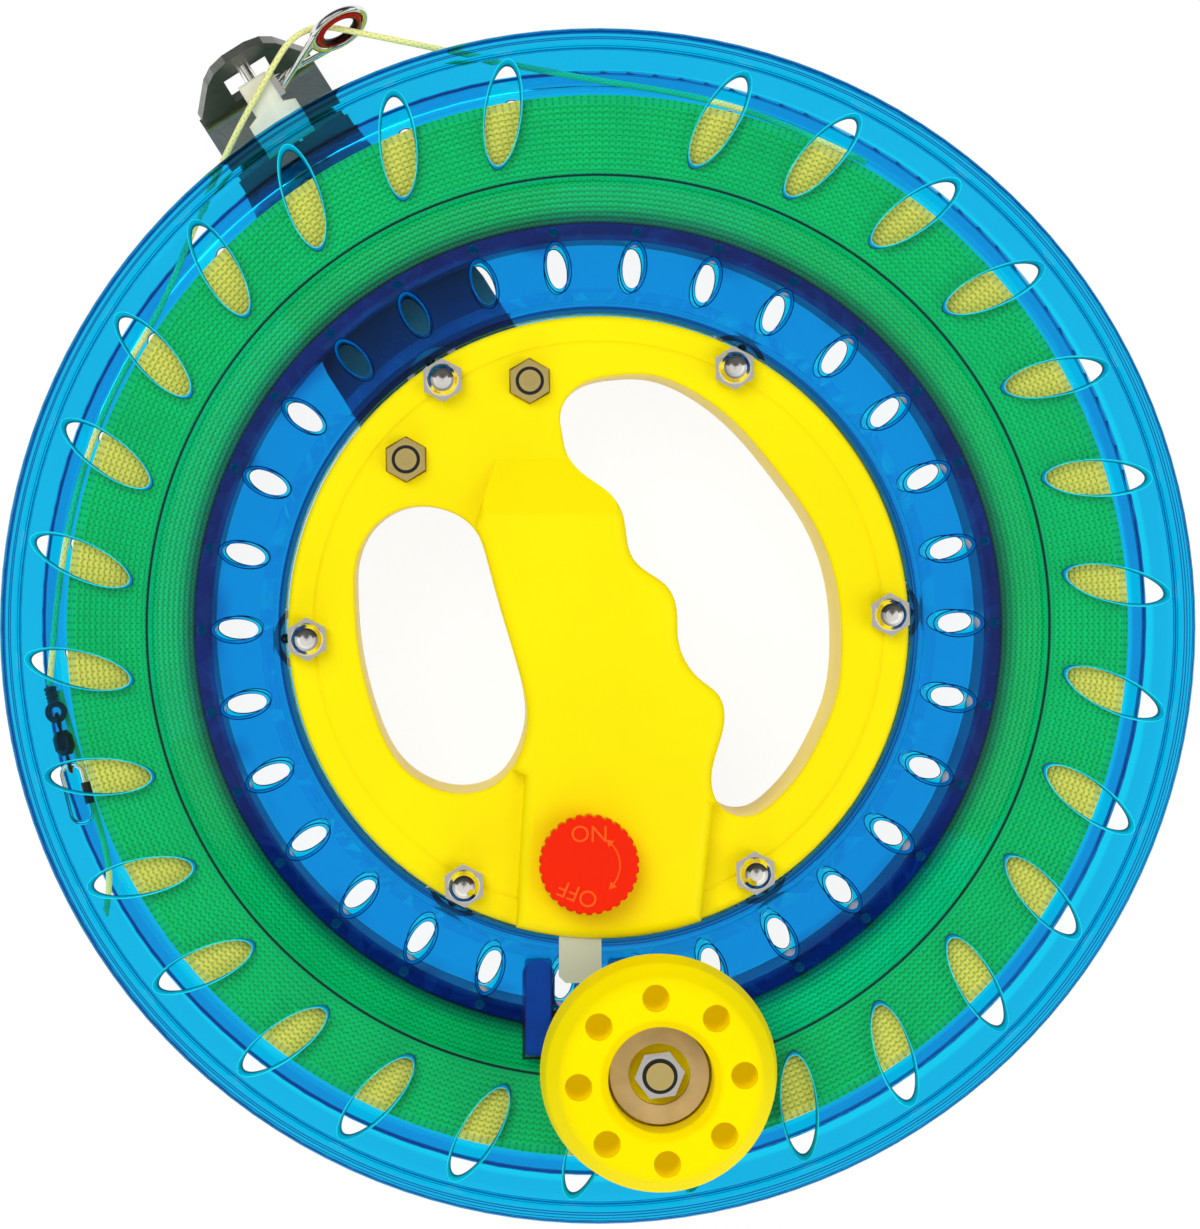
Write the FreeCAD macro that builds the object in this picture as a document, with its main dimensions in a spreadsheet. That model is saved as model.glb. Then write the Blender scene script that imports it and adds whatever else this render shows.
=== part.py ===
"""Kite line winder: a two-handed reel whose clear spool runs on six small bearings.

Frame: millimetres. The reel lies on the back of its hub. The spool turns about +Z,
the front (crank side) is +Z and the back face of the hub is z = 0. The origin is on
the spool's axis at that face. +Y points away from the lock, towards the line guide's
side of the wheel.
"""
import FreeCAD, Part

import math
import os

import Sketcher
from FreeCAD import Placement, Rotation, Vector

doc = FreeCAD.newDocument("LineWinder")
sheet = doc.addObject("Spreadsheet::Sheet", "Sizes")
BORE_TOO_DEEP = 400.0  # length of a cut that goes right through
nodes = []


# ----------------------------------------------------------------- driving sizes
class Size:
    """A number together with the spreadsheet expression that it comes from."""

    def __init__(self, value, text):
        self.value = float(value)
        self.text = text

    @staticmethod
    def of(other):
        return other if isinstance(other, Size) else Size(other, repr(float(other)))

    def __add__(self, other):
        other = Size.of(other)
        return Size(self.value + other.value, f"({self.text} + {other.text})")

    def __sub__(self, other):
        other = Size.of(other)
        return Size(self.value - other.value, f"({self.text} - {other.text})")

    def __mul__(self, other):
        other = Size.of(other)
        return Size(self.value * other.value, f"({self.text} * {other.text})")

    def __truediv__(self, other):
        other = Size.of(other)
        return Size(self.value / other.value, f"({self.text} / {other.text})")

    def __radd__(self, other):
        return Size.of(other) + self

    def __rsub__(self, other):
        return Size.of(other) - self

    def __rmul__(self, other):
        return Size.of(other) * self

    def __neg__(self):
        return Size(-self.value, f"(0 - {self.text})")


def size(alias, number, note):
    """Write one driving size into the sheet and hand it back for use."""
    row = size.row = getattr(size, "row", 0) + 1
    sheet.set(f"A{row}", note)
    sheet.set(f"B{row}", str(number))
    sheet.setAlias(f"B{row}", alias)
    return Size(number, f"Sizes.{alias}")


# wheel
front_radius = size("front_flange_radius", 110.0, "outer radius of the front flange")
back_radius = size("back_flange_radius", 105.0, "outer radius of the back flange")
middle_z = size("bearing_plane", 20.0, "height of the bearing plane above the hub's back")
flange_half = size("flange_half_width", 16.0, "bearing plane to a flange's outer face")
band_half = size("band_half_width", 12.0, "bearing plane to the inner band's outer face")
flange_wall = size("flange_wall", 2.0, "thickness of the flanges and the inner band")
rim_width = size("rim_width", 3.8, "width of the bead round the front flange")
rim_rise = size("rim_rise", 2.0, "how far the bead stands up from the front flange")
rim_lip = size("rim_lip", 0.5, "how far the bead stands into the line channel")
back_rim_width = size("back_rim_width", 3.2, "width of the bead round the back flange")
back_rim_rise = size("back_rim_rise", 0.8, "how far that bead stands out")
back_rim_lip = size("back_rim_lip", 0.3, "how far that bead stands into the line channel")
drum_inner = size("drum_inner_radius", 71.6, "inner radius of the drum that takes the line")
drum_wall = size("drum_wall", 3.2, "wall of the drum")
dish_width = size("dish_width", 7.8, "width of the slope from the drum up to the flange")
track_wall = size("track_wall", 2.2, "wall of the rail ring round the bearings")
lip_gap = size("lip_gap", 0.6, "gap between the hub and the spool's inner lip")
lip_step = size("lip_step", 1.0, "how far the inner lip lies below the band")
lip_seat = size("lip_seat", 0.2, "gap between the inner lip and the rail ring")
oval_count = size("oval_positions", 30, "places for ovals round the spool")
oval_length = size("oval_length", 19.8, "length of a flange oval")
oval_width = size("oval_width", 6.8, "width of a flange oval")
oval_inset = size("oval_inset", 13.8, "flange edge to the middle of its ovals")
oval_lean = size("oval_lean", 17.0, "lean of the ovals from the radius, degrees")
oval_start = size("oval_start", 100.6, "angle of the first flange oval, degrees")
slot_length = size("slot_length", 8.6, "length of an oval in the inner band")
slot_width = size("slot_width", 4.4, "width of an oval in the inner band")
slot_start = size("slot_start", 84.5, "angle of the first oval in the band, degrees")
pin_radius = size("pin_radius", 0.9, "radius of a joining pin")
pin_depth = size("pin_depth", 4.0, "depth of a joining pin in the drum")
pin_start = size("pin_start", 84.5, "angle of the first joining pin, degrees")
pack_radius = size("pack_radius", 98.0, "outer radius of the wound line")
pack_gap = size("pack_gap", 0.3, "gap between the wound line and the flanges")

# hub
hub_radius = size("hub_radius", 57.4, "radius of the hub's two shells")
hub_front = size("hub_front_height", 13.0, "bearing plane to the hub's front face")
hub_wall = size("hub_wall", 2.2, "wall of the hub shells")
hub_edge = size("hub_edge", 1.2, "rounding of the hub's outer edges")
grip_rise = size("grip_rise", 5.5, "how far the grip stands above the hub's face")
grip_edge = size("grip_edge", 2.2, "rounding of the grip's edges")
post_radius = size("post_radius", 3.5, "radius of the posts round the housing bolts")
bolt_inset = size("bolt_inset", 3.6, "hub edge to the bolt circle")
bolt_count = size("bolt_count", 6, "number of housing bolts and of bearings")
bolt_start = size("bolt_start", 2.4, "angle of the first housing bolt, degrees")
bolt_radius = size("bolt_radius", 2.0, "radius of an M4 thread")
bolt_gap = size("bolt_gap", 0.05, "radial gap of a bolt in its hole")
head_radius = size("head_radius", 3.6, "radius of a pan head")
head_height = size("head_height", 2.6, "height of a pan head")
seat_gap = size("seat_gap", 0.9, "gap round a pan head in its open seat")
nut_width = size("nut_width", 7.0, "width across the flats of an M4 nut")
nut_height = size("nut_height", 3.2, "height of the hexagon of a nut")
dome_radius = size("dome_radius", 3.0, "radius of a dome nut's dome")

# bearings
bearing_radius = size("bearing_radius", 6.5, "outer radius of a bearing")
bearing_width = size("bearing_width", 5.0, "width of a bearing")
inner_race = size("inner_race_wall", 1.32, "wall of a bearing's inner ring")
outer_race = size("outer_race_wall", 1.1, "wall of a bearing's outer ring")
ball_count = size("ball_count", 7, "balls in one bearing")
ball_gap = size("ball_gap", 0.03, "gap between a ball and each ring")
rail_gap = size("rail_gap", 0.1, "gap between the bearings and the rail")
pocket_gap = size("pocket_gap", 0.4, "gap round a bearing in the hub shells")

# guide arm and guide
arm_angle = size("arm_angle", 122.4, "direction of the guide arm, degrees")
arm_sheet = size("arm_sheet", 1.5, "thickness of the arm's steel sheet")
arm_width = size("arm_width", 35.0, "width of the arm at the hub")
arm_neck = size("arm_neck", 24.4, "width of the arm at the bend")
arm_inner = size("arm_inner", 40.8, "spool axis to the arm's inner end")
arm_corner = size("arm_corner", 3.0, "how far the arm's inner corners are cut off")
arm_reach = size("arm_reach", 10.3, "front flange to the foot of the bracket")
arm_lean = size("arm_lean", 5.5, "how far the bracket leans outwards")
arm_height = size("arm_height", 36.0, "height of the bracket's top")
bracket_top = size("bracket_top", 15.0, "width of the bracket near its top")
window_width = size("window_width", 9.0, "width of the bracket's window")
window_low = size("window_low", 7.0, "height of the window's lower edge")
window_high = size("window_high", 24.4, "height of the window's upper edge")
screw_circle = size("arm_screw_radius", 45.1, "spool axis to the line of the arm's screws")
screw_pitch = size("arm_screw_pitch", 27.0, "distance between the arm's two screws")
rod_radius = size("rod_radius", 1.2, "radius of the guide's pivot rod")
rod_gap = size("rod_gap", 0.05, "radial gap of the guide block on its rod")
rod_height = size("rod_height", 26.4, "height of the pivot rod")
block_half = size("block_half_height", 4.8, "half of the guide block's height")
block_width = size("block_width", 10.0, "width of the guide block's wide end")
block_waist = size("block_waist", 5.8, "width of the guide block's narrow end")
block_inner = size("block_inner", 3.6, "how far the block reaches in past the front flange")
block_step = size("block_step", 3.2, "front flange to the step in the guide block")
block_length = size("block_length", 13.2, "length of the guide block")
eye_side = size("eye_side", 18.5, "arm's middle to the guide eye, sideways")
eye_out = size("eye_out", 8.6, "front flange to the guide eye, outwards")
eye_height = size("eye_height", 34.2, "height of the guide eye's centre")
eye_radius = size("eye_radius", 5.4, "radius of the eye's wire ring")
eye_wire = size("eye_wire", 0.7, "radius of the eye's wire")
eye_tilt = size("eye_tilt", 66.0, "tilt of the eye's axis from upright, degrees")
liner_radius = size("liner_radius", 0.8, "radius of the section of the eye's liner")
foot_sheet = size("foot_sheet", 1.2, "thickness of the eye frame's foot")

# crank
crank_circle = size("crank_circle", 81.4, "spool axis to the crank's axis")
crank_angle = size("crank_angle", 277.4, "angle of the crank on the spool, degrees")
crank_bolt_radius = size("crank_bolt_radius", 2.5, "radius of the crank's M5 thread")
crank_head = size("crank_head_width", 8.0, "width across the flats of the M5 head and nut")
crank_head_height = size("crank_head_height", 3.5, "height of the crank bolt's head")
crank_nut_height = size("crank_nut_height", 5.0, "height of the crank's lock nut")
crank_post = size("crank_post_radius", 8.0, "radius of the spool's post under the crank")
crank_post_rise = size("crank_post_rise", 6.0, "how far that post stands above the flange")
knob_gap = size("knob_gap", 0.5, "gap between the crank's post and its knob")
knob_radius = size("knob_radius", 21.6, "largest radius of the crank knob")
knob_foot = size("knob_foot_radius", 19.8, "radius of the crank knob's foot")
knob_crown = size("knob_crown_radius", 17.6, "radius at which the knob's top rounds over")
knob_height = size("knob_height", 23.0, "height of the crank knob")
knob_floor = size("knob_floor", 8.6, "height of the floor of the knob's well")
well_radius = size("well_radius", 9.5, "radius of the well in the knob")
knob_holes = size("knob_hole_count", 8, "holes in the crank knob")
knob_hole_radius = size("knob_hole_radius", 2.45, "radius of a hole in the crank knob")
knob_hole_circle = size("knob_hole_circle", 14.9, "radius of the circle of those holes")
knob_hole_start = size("knob_hole_start", 41.6, "angle of the first of those holes, degrees")
knob_hole_depth = size("knob_hole_depth", 18.0, "depth of those holes")
sleeve_wall = size("sleeve_wall", 1.1, "wall of the sleeve the knob turns on")
spin_gap = size("spin_gap", 0.06, "radial gap of the knob on its sleeve")
washer_hole = size("washer_hole_radius", 5.6, "radius of the hole in the well's washer")
washer_height = size("washer_height", 2.4, "thickness of the well's washer")

# lock
lock_side = size("lock_side", 2.0, "spool axis to the lock knob, sideways")
lock_inset = size("lock_inset", 14.0, "hub edge to the lock knob's axis")
lock_knob_radius = size("lock_knob_radius", 9.15, "radius of the lock knob")
lock_knob_height = size("lock_knob_height", 5.5, "height of the lock knob")
lock_knob_lift = size("lock_knob_lift", 0.3, "gap under the lock knob")
lock_serrations = size("lock_serrations", 30, "grooves round the lock knob")
serration_radius = size("serration_radius", 0.55, "radius of a groove round the lock knob")
gear_module = size("gear_module", 0.55, "module of the lock's pinion and rack")
gear_teeth = size("gear_teeth", 8, "teeth of the lock's pinion")
tooth_share = size("tooth_share", 0.42, "tooth thickness as a share of the pitch")
spindle_radius = size("spindle_radius", 1.45, "radius of the lock knob's spindle")
spindle_length = size("spindle_length", 8.0, "how far the spindle reaches into its column")
spindle_gap = size("spindle_gap", 0.06, "radial gap of the spindle in the hub")
tongue_width = size("tongue_width", 7.8, "width of the lock tongue")
tongue_offset = size("tongue_offset", 1.5, "lock knob's axis to the middle of the tongue")
tongue_height = size("tongue_height", 3.0, "thickness of the lock tongue")
tongue_reach = size("tongue_reach", 8.2, "how far the tongue stands out of the hub")
tongue_root = size("tongue_root", 3.9, "length of the tongue's wide end inside the hub")
tongue_gap = size("tongue_gap", 0.2, "gap round the tongue in the hub")
tongue_lift = size("tongue_lift", 0.4, "height of the tongue's slot above the hub's face")
rib_width = size("rib_width", 6.0, "width of a stop rib on the spool")
rib_gap = size("rib_gap", 0.8, "gap between the tongue and each stop rib")
rib_inner = size("rib_inner", 61.2, "spool axis to the inner end of the stop ribs")
rib_outer = size("rib_outer", 79.6, "spool axis to the outer end of the stop ribs")
rib_rise = size("rib_rise", 5.4, "how far the stop ribs stand above the band")

# free line and what is tied to it
line_radius = size("line_radius", 0.58, "radius of the line")
barrel_radius = size("barrel_radius", 1.9, "radius of the swivel's barrel")
barrel_length = size("barrel_length", 4.6, "length of the swivel's barrel")
swivel_wire = size("swivel_wire", 0.4, "radius of the swivel's wire")
knot_radius = size("knot_radius", 1.25, "radius of the knot's turns")

doc.recompute()

flange_front_z = middle_z + flange_half
flange_back_z = middle_z - flange_half
drum_radius = drum_inner + drum_wall
dish_radius = drum_radius + dish_width
bolt_circle = hub_radius - bolt_inset
rail_radius = bolt_circle + bearing_radius + rail_gap
lip_radius = hub_radius + lip_gap
hub_face = middle_z + hub_front
grip_face = hub_face + grip_rise
pitch_radius = gear_module * gear_teeth / 2
lock_x = -lock_side
lock_y = -(hub_radius - lock_inset)
tongue_z = hub_face + tongue_lift
bearing_low = middle_z - bearing_width / 2
bearing_high = middle_z + bearing_width / 2


# ----------------------------------------------------------------- small tools
def body(name):
    made = doc.addObject("PartDesign::Body", name)
    made.Label = name
    made.AllowCompound = True
    nodes.append(made)
    return made


def origin_part(owner, role):
    return [part for part in owner.Origin.OriginFeatures if part.Role == role][0]


def sketch(owner, name, role="XY_Plane", lift=None, across=None):
    """A sketch on one of the body's own planes, moved along its normal and its x."""
    made = owner.newObject("Sketcher::SketchObject", name)
    made.AttachmentSupport = [(origin_part(owner, role), "")]
    made.MapMode = "FlatFace"
    lift, across = Size.of(lift or 0.0), Size.of(across or 0.0)
    made.AttachmentOffset = Placement(Vector(across.value, 0, lift.value), Rotation())
    made.setExpression("AttachmentOffset.Base.z", lift.text)
    made.setExpression("AttachmentOffset.Base.x", across.text)
    return made


def upright(owner, name, x, y=0.0):
    """An upright section whose own vertical axis stands at x, y."""
    return sketch(owner, name, "XZ_Plane", lift=-Size.of(y), across=x)


def limit(drawing, *constraint):
    """Add a constraint whose last entry is a size, and bind it to the sheet."""
    amount = Size.of(constraint[-1])
    index = drawing.addConstraint(Sketcher.Constraint(*constraint[:-1], amount.value))
    drawing.setExpression(f"Constraints[{index}]", amount.text)


def place(drawing, geometry, point, x, y):
    limit(drawing, "DistanceX", -1, 1, geometry, point, x)
    limit(drawing, "DistanceY", -1, 1, geometry, point, y)


def polygon(drawing, corners):
    """A closed outline of straight lines, each corner held by its two sizes."""
    corners = [(Size.of(x), Size.of(y)) for x, y in corners]
    spots = [Vector(x.value, y.value, 0) for x, y in corners]
    lines = []
    for start, end in zip(spots, spots[1:] + spots[:1]):
        lines.append(drawing.addGeometry(Part.LineSegment(start, end)))
    for line, following in zip(lines, lines[1:] + lines[:1]):
        drawing.addConstraint(Sketcher.Constraint("Coincident", line, 2, following, 1))
    for line, (x, y) in zip(lines, corners):
        place(drawing, line, 1, x, y)
    return drawing


def circle(drawing, x, y, radius):
    x, y, radius = Size.of(x), Size.of(y), Size.of(radius)
    middle = Vector(x.value, y.value, 0)
    made = drawing.addGeometry(Part.Circle(middle, Vector(0, 0, 1), radius.value))
    limit(drawing, "Radius", made, radius)
    place(drawing, made, 3, x, y)
    return drawing


def oval(drawing, x, y, length, width, angle):
    """An ellipse with its long axis at an angle, in radians, from the sketch's x axis."""
    middle = Vector(x.value, y.value, 0)
    along = Vector(math.cos(angle.value), math.sin(angle.value), 0)
    across = Vector(-along.y, along.x, 0)
    tip = middle + along * (length.value / 2)
    side = middle + across * (width.value / 2)
    made = drawing.addGeometry(Part.Ellipse(tip, side, middle))
    drawing.exposeInternalGeometry(made)
    place(drawing, made, 3, x, y)
    limit(drawing, "Distance", made + 1, length)
    limit(drawing, "Distance", made + 2, width)
    index = drawing.addConstraint(Sketcher.Constraint("Angle", made + 1, angle.value))
    drawing.setExpression(f"Constraints[{index}]", f"{angle.text} * 1 rad")
    return drawing


def turned_hexagon(drawing, x, y, across_flats, angle):
    """A hexagon with one of its flats facing the way of the angle, in degrees."""
    point = across_flats / math.sqrt(3)
    corners = [polar(point, angle + 30.0 + 60.0 * index) for index in range(6)]
    return polygon(drawing, [(x + along, y + across) for along, across in corners])


def hexagon(drawing, x, y, across_flats):
    """A hexagon with two flats facing sideways."""
    flat = across_flats / 2
    point = across_flats / math.sqrt(3)
    half_side = point / 2
    corners = [(x + flat, y - half_side), (x + flat, y + half_side), (x, y + point)]
    corners += [(x - flat, y + half_side), (x - flat, y - half_side), (x, y - point)]
    return polygon(drawing, corners)


def closed_curve(drawing, points):
    """A smooth closed outline through points."""
    curve = Part.BSplineCurve()
    curve.interpolate([Vector(x, y, 0) for x, y in points], PeriodicFlag=True)
    drawing.addGeometry(curve)
    return drawing


def pad(owner, drawing, name, length, midplane=False, down=False):
    made = owner.newObject("PartDesign::Pad", name)
    made.Profile = drawing
    length = Size.of(length)
    made.Length = length.value
    made.setExpression("Length", length.text)
    made.Midplane = midplane
    made.Reversed = down
    return made


def pocket(owner, drawing, name, depth=None, up=False, midplane=False):
    """A cut from the sketch downwards, or upwards; with no depth it goes right through."""
    made = owner.newObject("PartDesign::Pocket", name)
    made.Profile = drawing
    depth = Size.of(BORE_TOO_DEEP if depth is None else depth)
    made.Length = depth.value
    made.setExpression("Length", depth.text)
    made.Reversed = up
    made.Midplane = midplane
    return made


def revolve(owner, drawing, name, cut=False):
    """Turn the sketch a full turn about its own vertical axis."""
    made = owner.newObject("PartDesign::Groove" if cut else "PartDesign::Revolution", name)
    made.Profile = drawing
    made.ReferenceAxis = (drawing, ["V_Axis"])
    made.Angle = 360.0
    return made


def ring_of(owner, feature, name, count, step=None):
    """Repeat features about the spool's axis: a full ring, or copies a step apart."""
    made = owner.newObject("PartDesign::PolarPattern", name)
    made.Originals = feature if isinstance(feature, list) else [feature]
    made.Axis = (origin_part(owner, "Z_Axis"), [""])
    count = Size.of(count)
    made.Occurrences = round(count.value)
    made.setExpression("Occurrences", count.text)
    if step is None:
        made.Angle = 360.0
    else:
        span = step * (count - 1)
        made.Angle = span.value
        made.setExpression("Angle", span.text)
    owner.Tip = made
    return made


def mirror(owner, feature, role, name):
    made = owner.newObject("PartDesign::Mirrored", name)
    made.Originals = feature if isinstance(feature, list) else [feature]
    made.MirrorPlane = (origin_part(owner, role), [""])
    owner.Tip = made
    return made


def soften(owner, feature, name, radius, wanted):
    """Round the edges that the test picks, at most as far as the radius given."""
    doc.recompute()
    edges = [f"Edge{i + 1}" for i, edge in enumerate(feature.Shape.Edges) if wanted(edge)]
    made = owner.newObject("PartDesign::Fillet", name)
    made.Base = (feature, edges)
    radius = Size.of(radius)
    made.Radius = radius.value
    made.setExpression("Radius", radius.text)
    owner.Tip = made
    return made


def at_height(z, radius=None):
    """A test for flat round edges at a height, and at a radius where one is given."""

    def test(edge):
        box = edge.BoundBox
        level = abs(box.ZMin - z.value) < 1e-4 and abs(box.ZMax - z.value) < 1e-4
        if not level or radius is None:
            return level
        return any(abs(math.hypot(v.X, v.Y) - radius.value) < 1e-3 for v in edge.Vertexes)

    return test


def turn_to(thing, angle):
    """Turn a piece that was drawn along +X about the spool's axis to its angle."""
    thing.Placement = Placement(Vector(), Rotation(Vector(0, 0, 1), angle.value))
    thing.setExpression("Placement.Rotation.Angle", angle.text)


def polar(radius, angle):
    """The x and y sizes of a spot given by its radius and its angle in degrees."""
    turn = math.radians(angle.value)
    x = Size(radius.value * math.cos(turn), f"({radius.text} * cos({angle.text} * 1 deg))")
    y = Size(radius.value * math.sin(turn), f"({radius.text} * sin({angle.text} * 1 deg))")
    return x, y


def tube(name, inner, outer, low, high, x=0.0, y=0.0, start=None, count=None):
    """A plain ring or sleeve, or a ring of them about the spool's axis."""
    owner = body(name)
    drawing = sketch(owner, name + "_section", lift=low)
    circle(drawing, x, y, outer)
    if inner is not None:
        circle(drawing, x, y, inner)
    made = pad(owner, drawing, name + "_pad", high - low)
    if count is not None:
        ring_of(owner, made, name + "_ring", count)
    if start is not None:
        turn_to(owner, start)
    return owner


# ----------------------------------------------------------------- the spool
def flange(name, edge_radius, side, rim, rise, lip):
    """One clear side of the spool: flange, dish, inner band and lip, with its ovals.

    side is +1 for the front and -1 for the back; heights count from the bearing plane.
    """
    owner = body(name)

    def up(height):
        return middle_z + side * height

    band_inner = band_half - flange_wall
    flange_inner = flange_half - flange_wall
    lip_outer = rail_radius - lip_seat
    lip_top = band_half - lip_step
    lip_low = bearing_width / 2 + pocket_gap
    rim_inner = edge_radius - rim
    section = sketch(owner, name + "_section", "XZ_Plane")
    polygon(section, [
        (lip_radius, up(lip_low)), (lip_radius, up(lip_top)),
        (lip_outer, up(lip_top)), (lip_outer, up(band_half)),
        (drum_inner, up(band_half)), (dish_radius - 1.0, up(flange_half - 0.5)),
        (dish_radius, up(flange_half)), (rim_inner, up(flange_half)),
        (rim_inner + rise / 2, up(flange_half + rise)), (edge_radius, up(flange_half + rise)),
        (edge_radius, up(flange_inner - lip)), (rim_inner, up(flange_inner - lip)),
        (rim_inner - 1.0, up(flange_inner)), (dish_radius + 0.8, up(flange_inner)),
        (drum_radius, up(band_inner)), (lip_outer, up(band_inner)),
        (lip_outer, up(lip_low)),
    ])
    wheel = revolve(owner, section, name + "_wheel")
    top = up(flange_half + rise)
    under = up(flange_inner - lip)

    def rim_edge(edge):
        if len(edge.Vertexes) != 1:
            return False
        spot = edge.Vertexes[0]
        outer = abs(math.hypot(spot.X, spot.Y) - edge_radius.value) < 1e-4
        return outer and (abs(spot.Z - top.value) < 1e-4 or abs(spot.Z - under.value) < 1e-4)

    def dish_edge(edge):
        if len(edge.Vertexes) != 1:
            return False
        spot = edge.Vertexes[0]
        inner = abs(math.hypot(spot.X, spot.Y) - drum_inner.value) < 1e-4
        return inner and abs(spot.Z - up(band_half).value) < 1e-4

    rounded = soften(owner, wheel, name + "_rim_round", rim / 4, rim_edge)
    soften(owner, rounded, name + "_dish_round", flange_wall, dish_edge)

    hole_x, hole_y = polar(edge_radius - oval_inset, oval_start)
    lean = (oval_start - oval_lean) * (math.pi / 180)
    holes = sketch(owner, name + "_oval", lift=0.0)
    oval(holes, hole_x, hole_y, oval_length, oval_width, lean)
    cut = pocket(owner, holes, name + "_oval_cut", BORE_TOO_DEEP, midplane=True)
    ring_of(owner, cut, name + "_ovals", oval_count - 1, Size.of(360.0) / oval_count)

    slot_circle = (lip_outer + track_wall + drum_inner) / 2
    slot_x, slot_y = polar(slot_circle + 0.1, slot_start)
    slots = sketch(owner, name + "_slot", lift=0.0)
    oval(slots, slot_x, slot_y, slot_length, slot_width, slot_start * (math.pi / 180))
    slot_cut = pocket(owner, slots, name + "_slot_cut", BORE_TOO_DEEP, midplane=True)
    ring_of(owner, slot_cut, name + "_slots", oval_count)

    pin_x, pin_y = polar(drum_inner + drum_wall / 2, pin_start)
    bores = sketch(owner, name + "_bore", lift=0.0)
    circle(bores, pin_x, pin_y, pin_radius)
    bore = pocket(owner, bores, name + "_bore_cut", BORE_TOO_DEEP, midplane=True)
    ring_of(owner, bore, name + "_bores", oval_count)
    return owner


def front_flange():
    owner = flange("front_flange", front_radius, 1, rim_width, rim_rise, rim_lip)
    post_top = flange_front_z + crank_post_rise
    post_low = flange_front_z - flange_wall
    crank_x, crank_y = polar(crank_circle, crank_angle)
    post = sketch(owner, "post_section", lift=post_low)
    circle(post, crank_x, crank_y, crank_post)
    pad(owner, post, "post", post_top - post_low)

    web_low = middle_z + band_half + 1.2
    web_inner = drum_radius + 0.2
    web = sketch(owner, "web_section", lift=web_low)
    polygon(web, [
        (crank_x - crank_post * 0.75, -rib_outer), (crank_x + crank_post * 0.75, -rib_outer),
        (crank_x + crank_post * 0.75, -web_inner), (crank_x - crank_post * 0.75, -web_inner),
    ])
    pad(owner, web, "web", flange_front_z - web_low)

    rib_low = middle_z + band_half - 0.4

    for side, rib_name in ((-1, "left_rib"), (1, "right_rib")):
        near = lock_tongue_x() + side * (tongue_width / 2 + rib_gap)
        far = near + side * rib_width
        tip = rib_inner + rib_width / 2
        rib = sketch(owner, rib_name + "_plan", lift=rib_low)
        polygon(rib, [(near, -rib_outer), (far, -rib_outer), (far, -tip), (near, -tip)])
        pad(owner, rib, rib_name, rib_rise + 0.4)
        nose = sketch(owner, rib_name + "_nose_plan", lift=rib_low)
        circle(nose, near + side * rib_width / 2, -tip, rib_width / 2)
        pad(owner, nose, rib_name + "_nose", rib_rise + 0.4)

    bolt = sketch(owner, "crank_bolt_bore", lift=0.0)
    circle(bolt, crank_x, crank_y, crank_bolt_radius + bolt_gap)
    pocket(owner, bolt, "crank_bolt_hole", BORE_TOO_DEEP, midplane=True)
    head = sketch(owner, "crank_head_pocket", lift=post_low)
    turned_hexagon(head, crank_x, crank_y, crank_head + 0.2, crank_angle)
    pocket(owner, head, "crank_head_recess", crank_head_height + 0.2, up=True)


def back_flange():
    flange("back_flange", back_radius, -1, back_rim_width, back_rim_rise, back_rim_lip)


def lock_tongue_x():
    """Middle of the lock tongue: its straight flank lies on the pinion's far side."""
    return lock_x - tongue_offset


def joining_pins():
    owner = body("joining_pins")
    x, y = polar(drum_inner + drum_wall / 2, pin_start)
    for part, side in (("front", 1), ("back", -1)):
        start = middle_z + side * (band_half - flange_wall - pin_depth)
        pins = sketch(owner, part + "_pin", lift=start)
        circle(pins, x, y, pin_radius)
        length = pin_depth + flange_wall
        made = pad(owner, pins, part + "_pin_pad", length, down=side < 0)
        ring_of(owner, made, part + "_pins", oval_count)


def drum():
    low = middle_z - band_half + flange_wall
    high = middle_z + band_half - flange_wall
    owner = tube("drum", drum_inner, drum_radius, low, high)
    x, y = polar(drum_inner + drum_wall / 2, pin_start)
    for part, level, up in (("front", high, False), ("back", low, True)):
        bores = sketch(owner, part + "_bore", lift=level)
        circle(bores, x, y, pin_radius)
        cut = pocket(owner, bores, part + "_bore_cut", pin_depth, up=up)
        ring_of(owner, cut, part + "_bores", oval_count)


def bearing_rail():
    low = middle_z - band_half + flange_wall
    high = middle_z + band_half - flange_wall
    tube("bearing_rail", rail_radius, rail_radius + track_wall, low, high)


def line_pack():
    owner = body("line_pack")
    flange_inner = flange_half - flange_wall - pack_gap
    slope_inner = band_half - flange_wall - 1.4
    slope_outer = dish_radius + 1.9
    section = sketch(owner, "pack_section", "XZ_Plane")
    polygon(section, [
        (drum_radius, middle_z + slope_inner), (slope_outer, middle_z + flange_inner),
        (pack_radius - 1.5, middle_z + flange_inner), (pack_radius, middle_z + flange_inner - 1.5),
        (pack_radius, middle_z - flange_inner + 1.5), (pack_radius - 1.5, middle_z - flange_inner),
        (slope_outer, middle_z - flange_inner), (drum_radius, middle_z - slope_inner),
    ])
    revolve(owner, section, "pack_turns")


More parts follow.
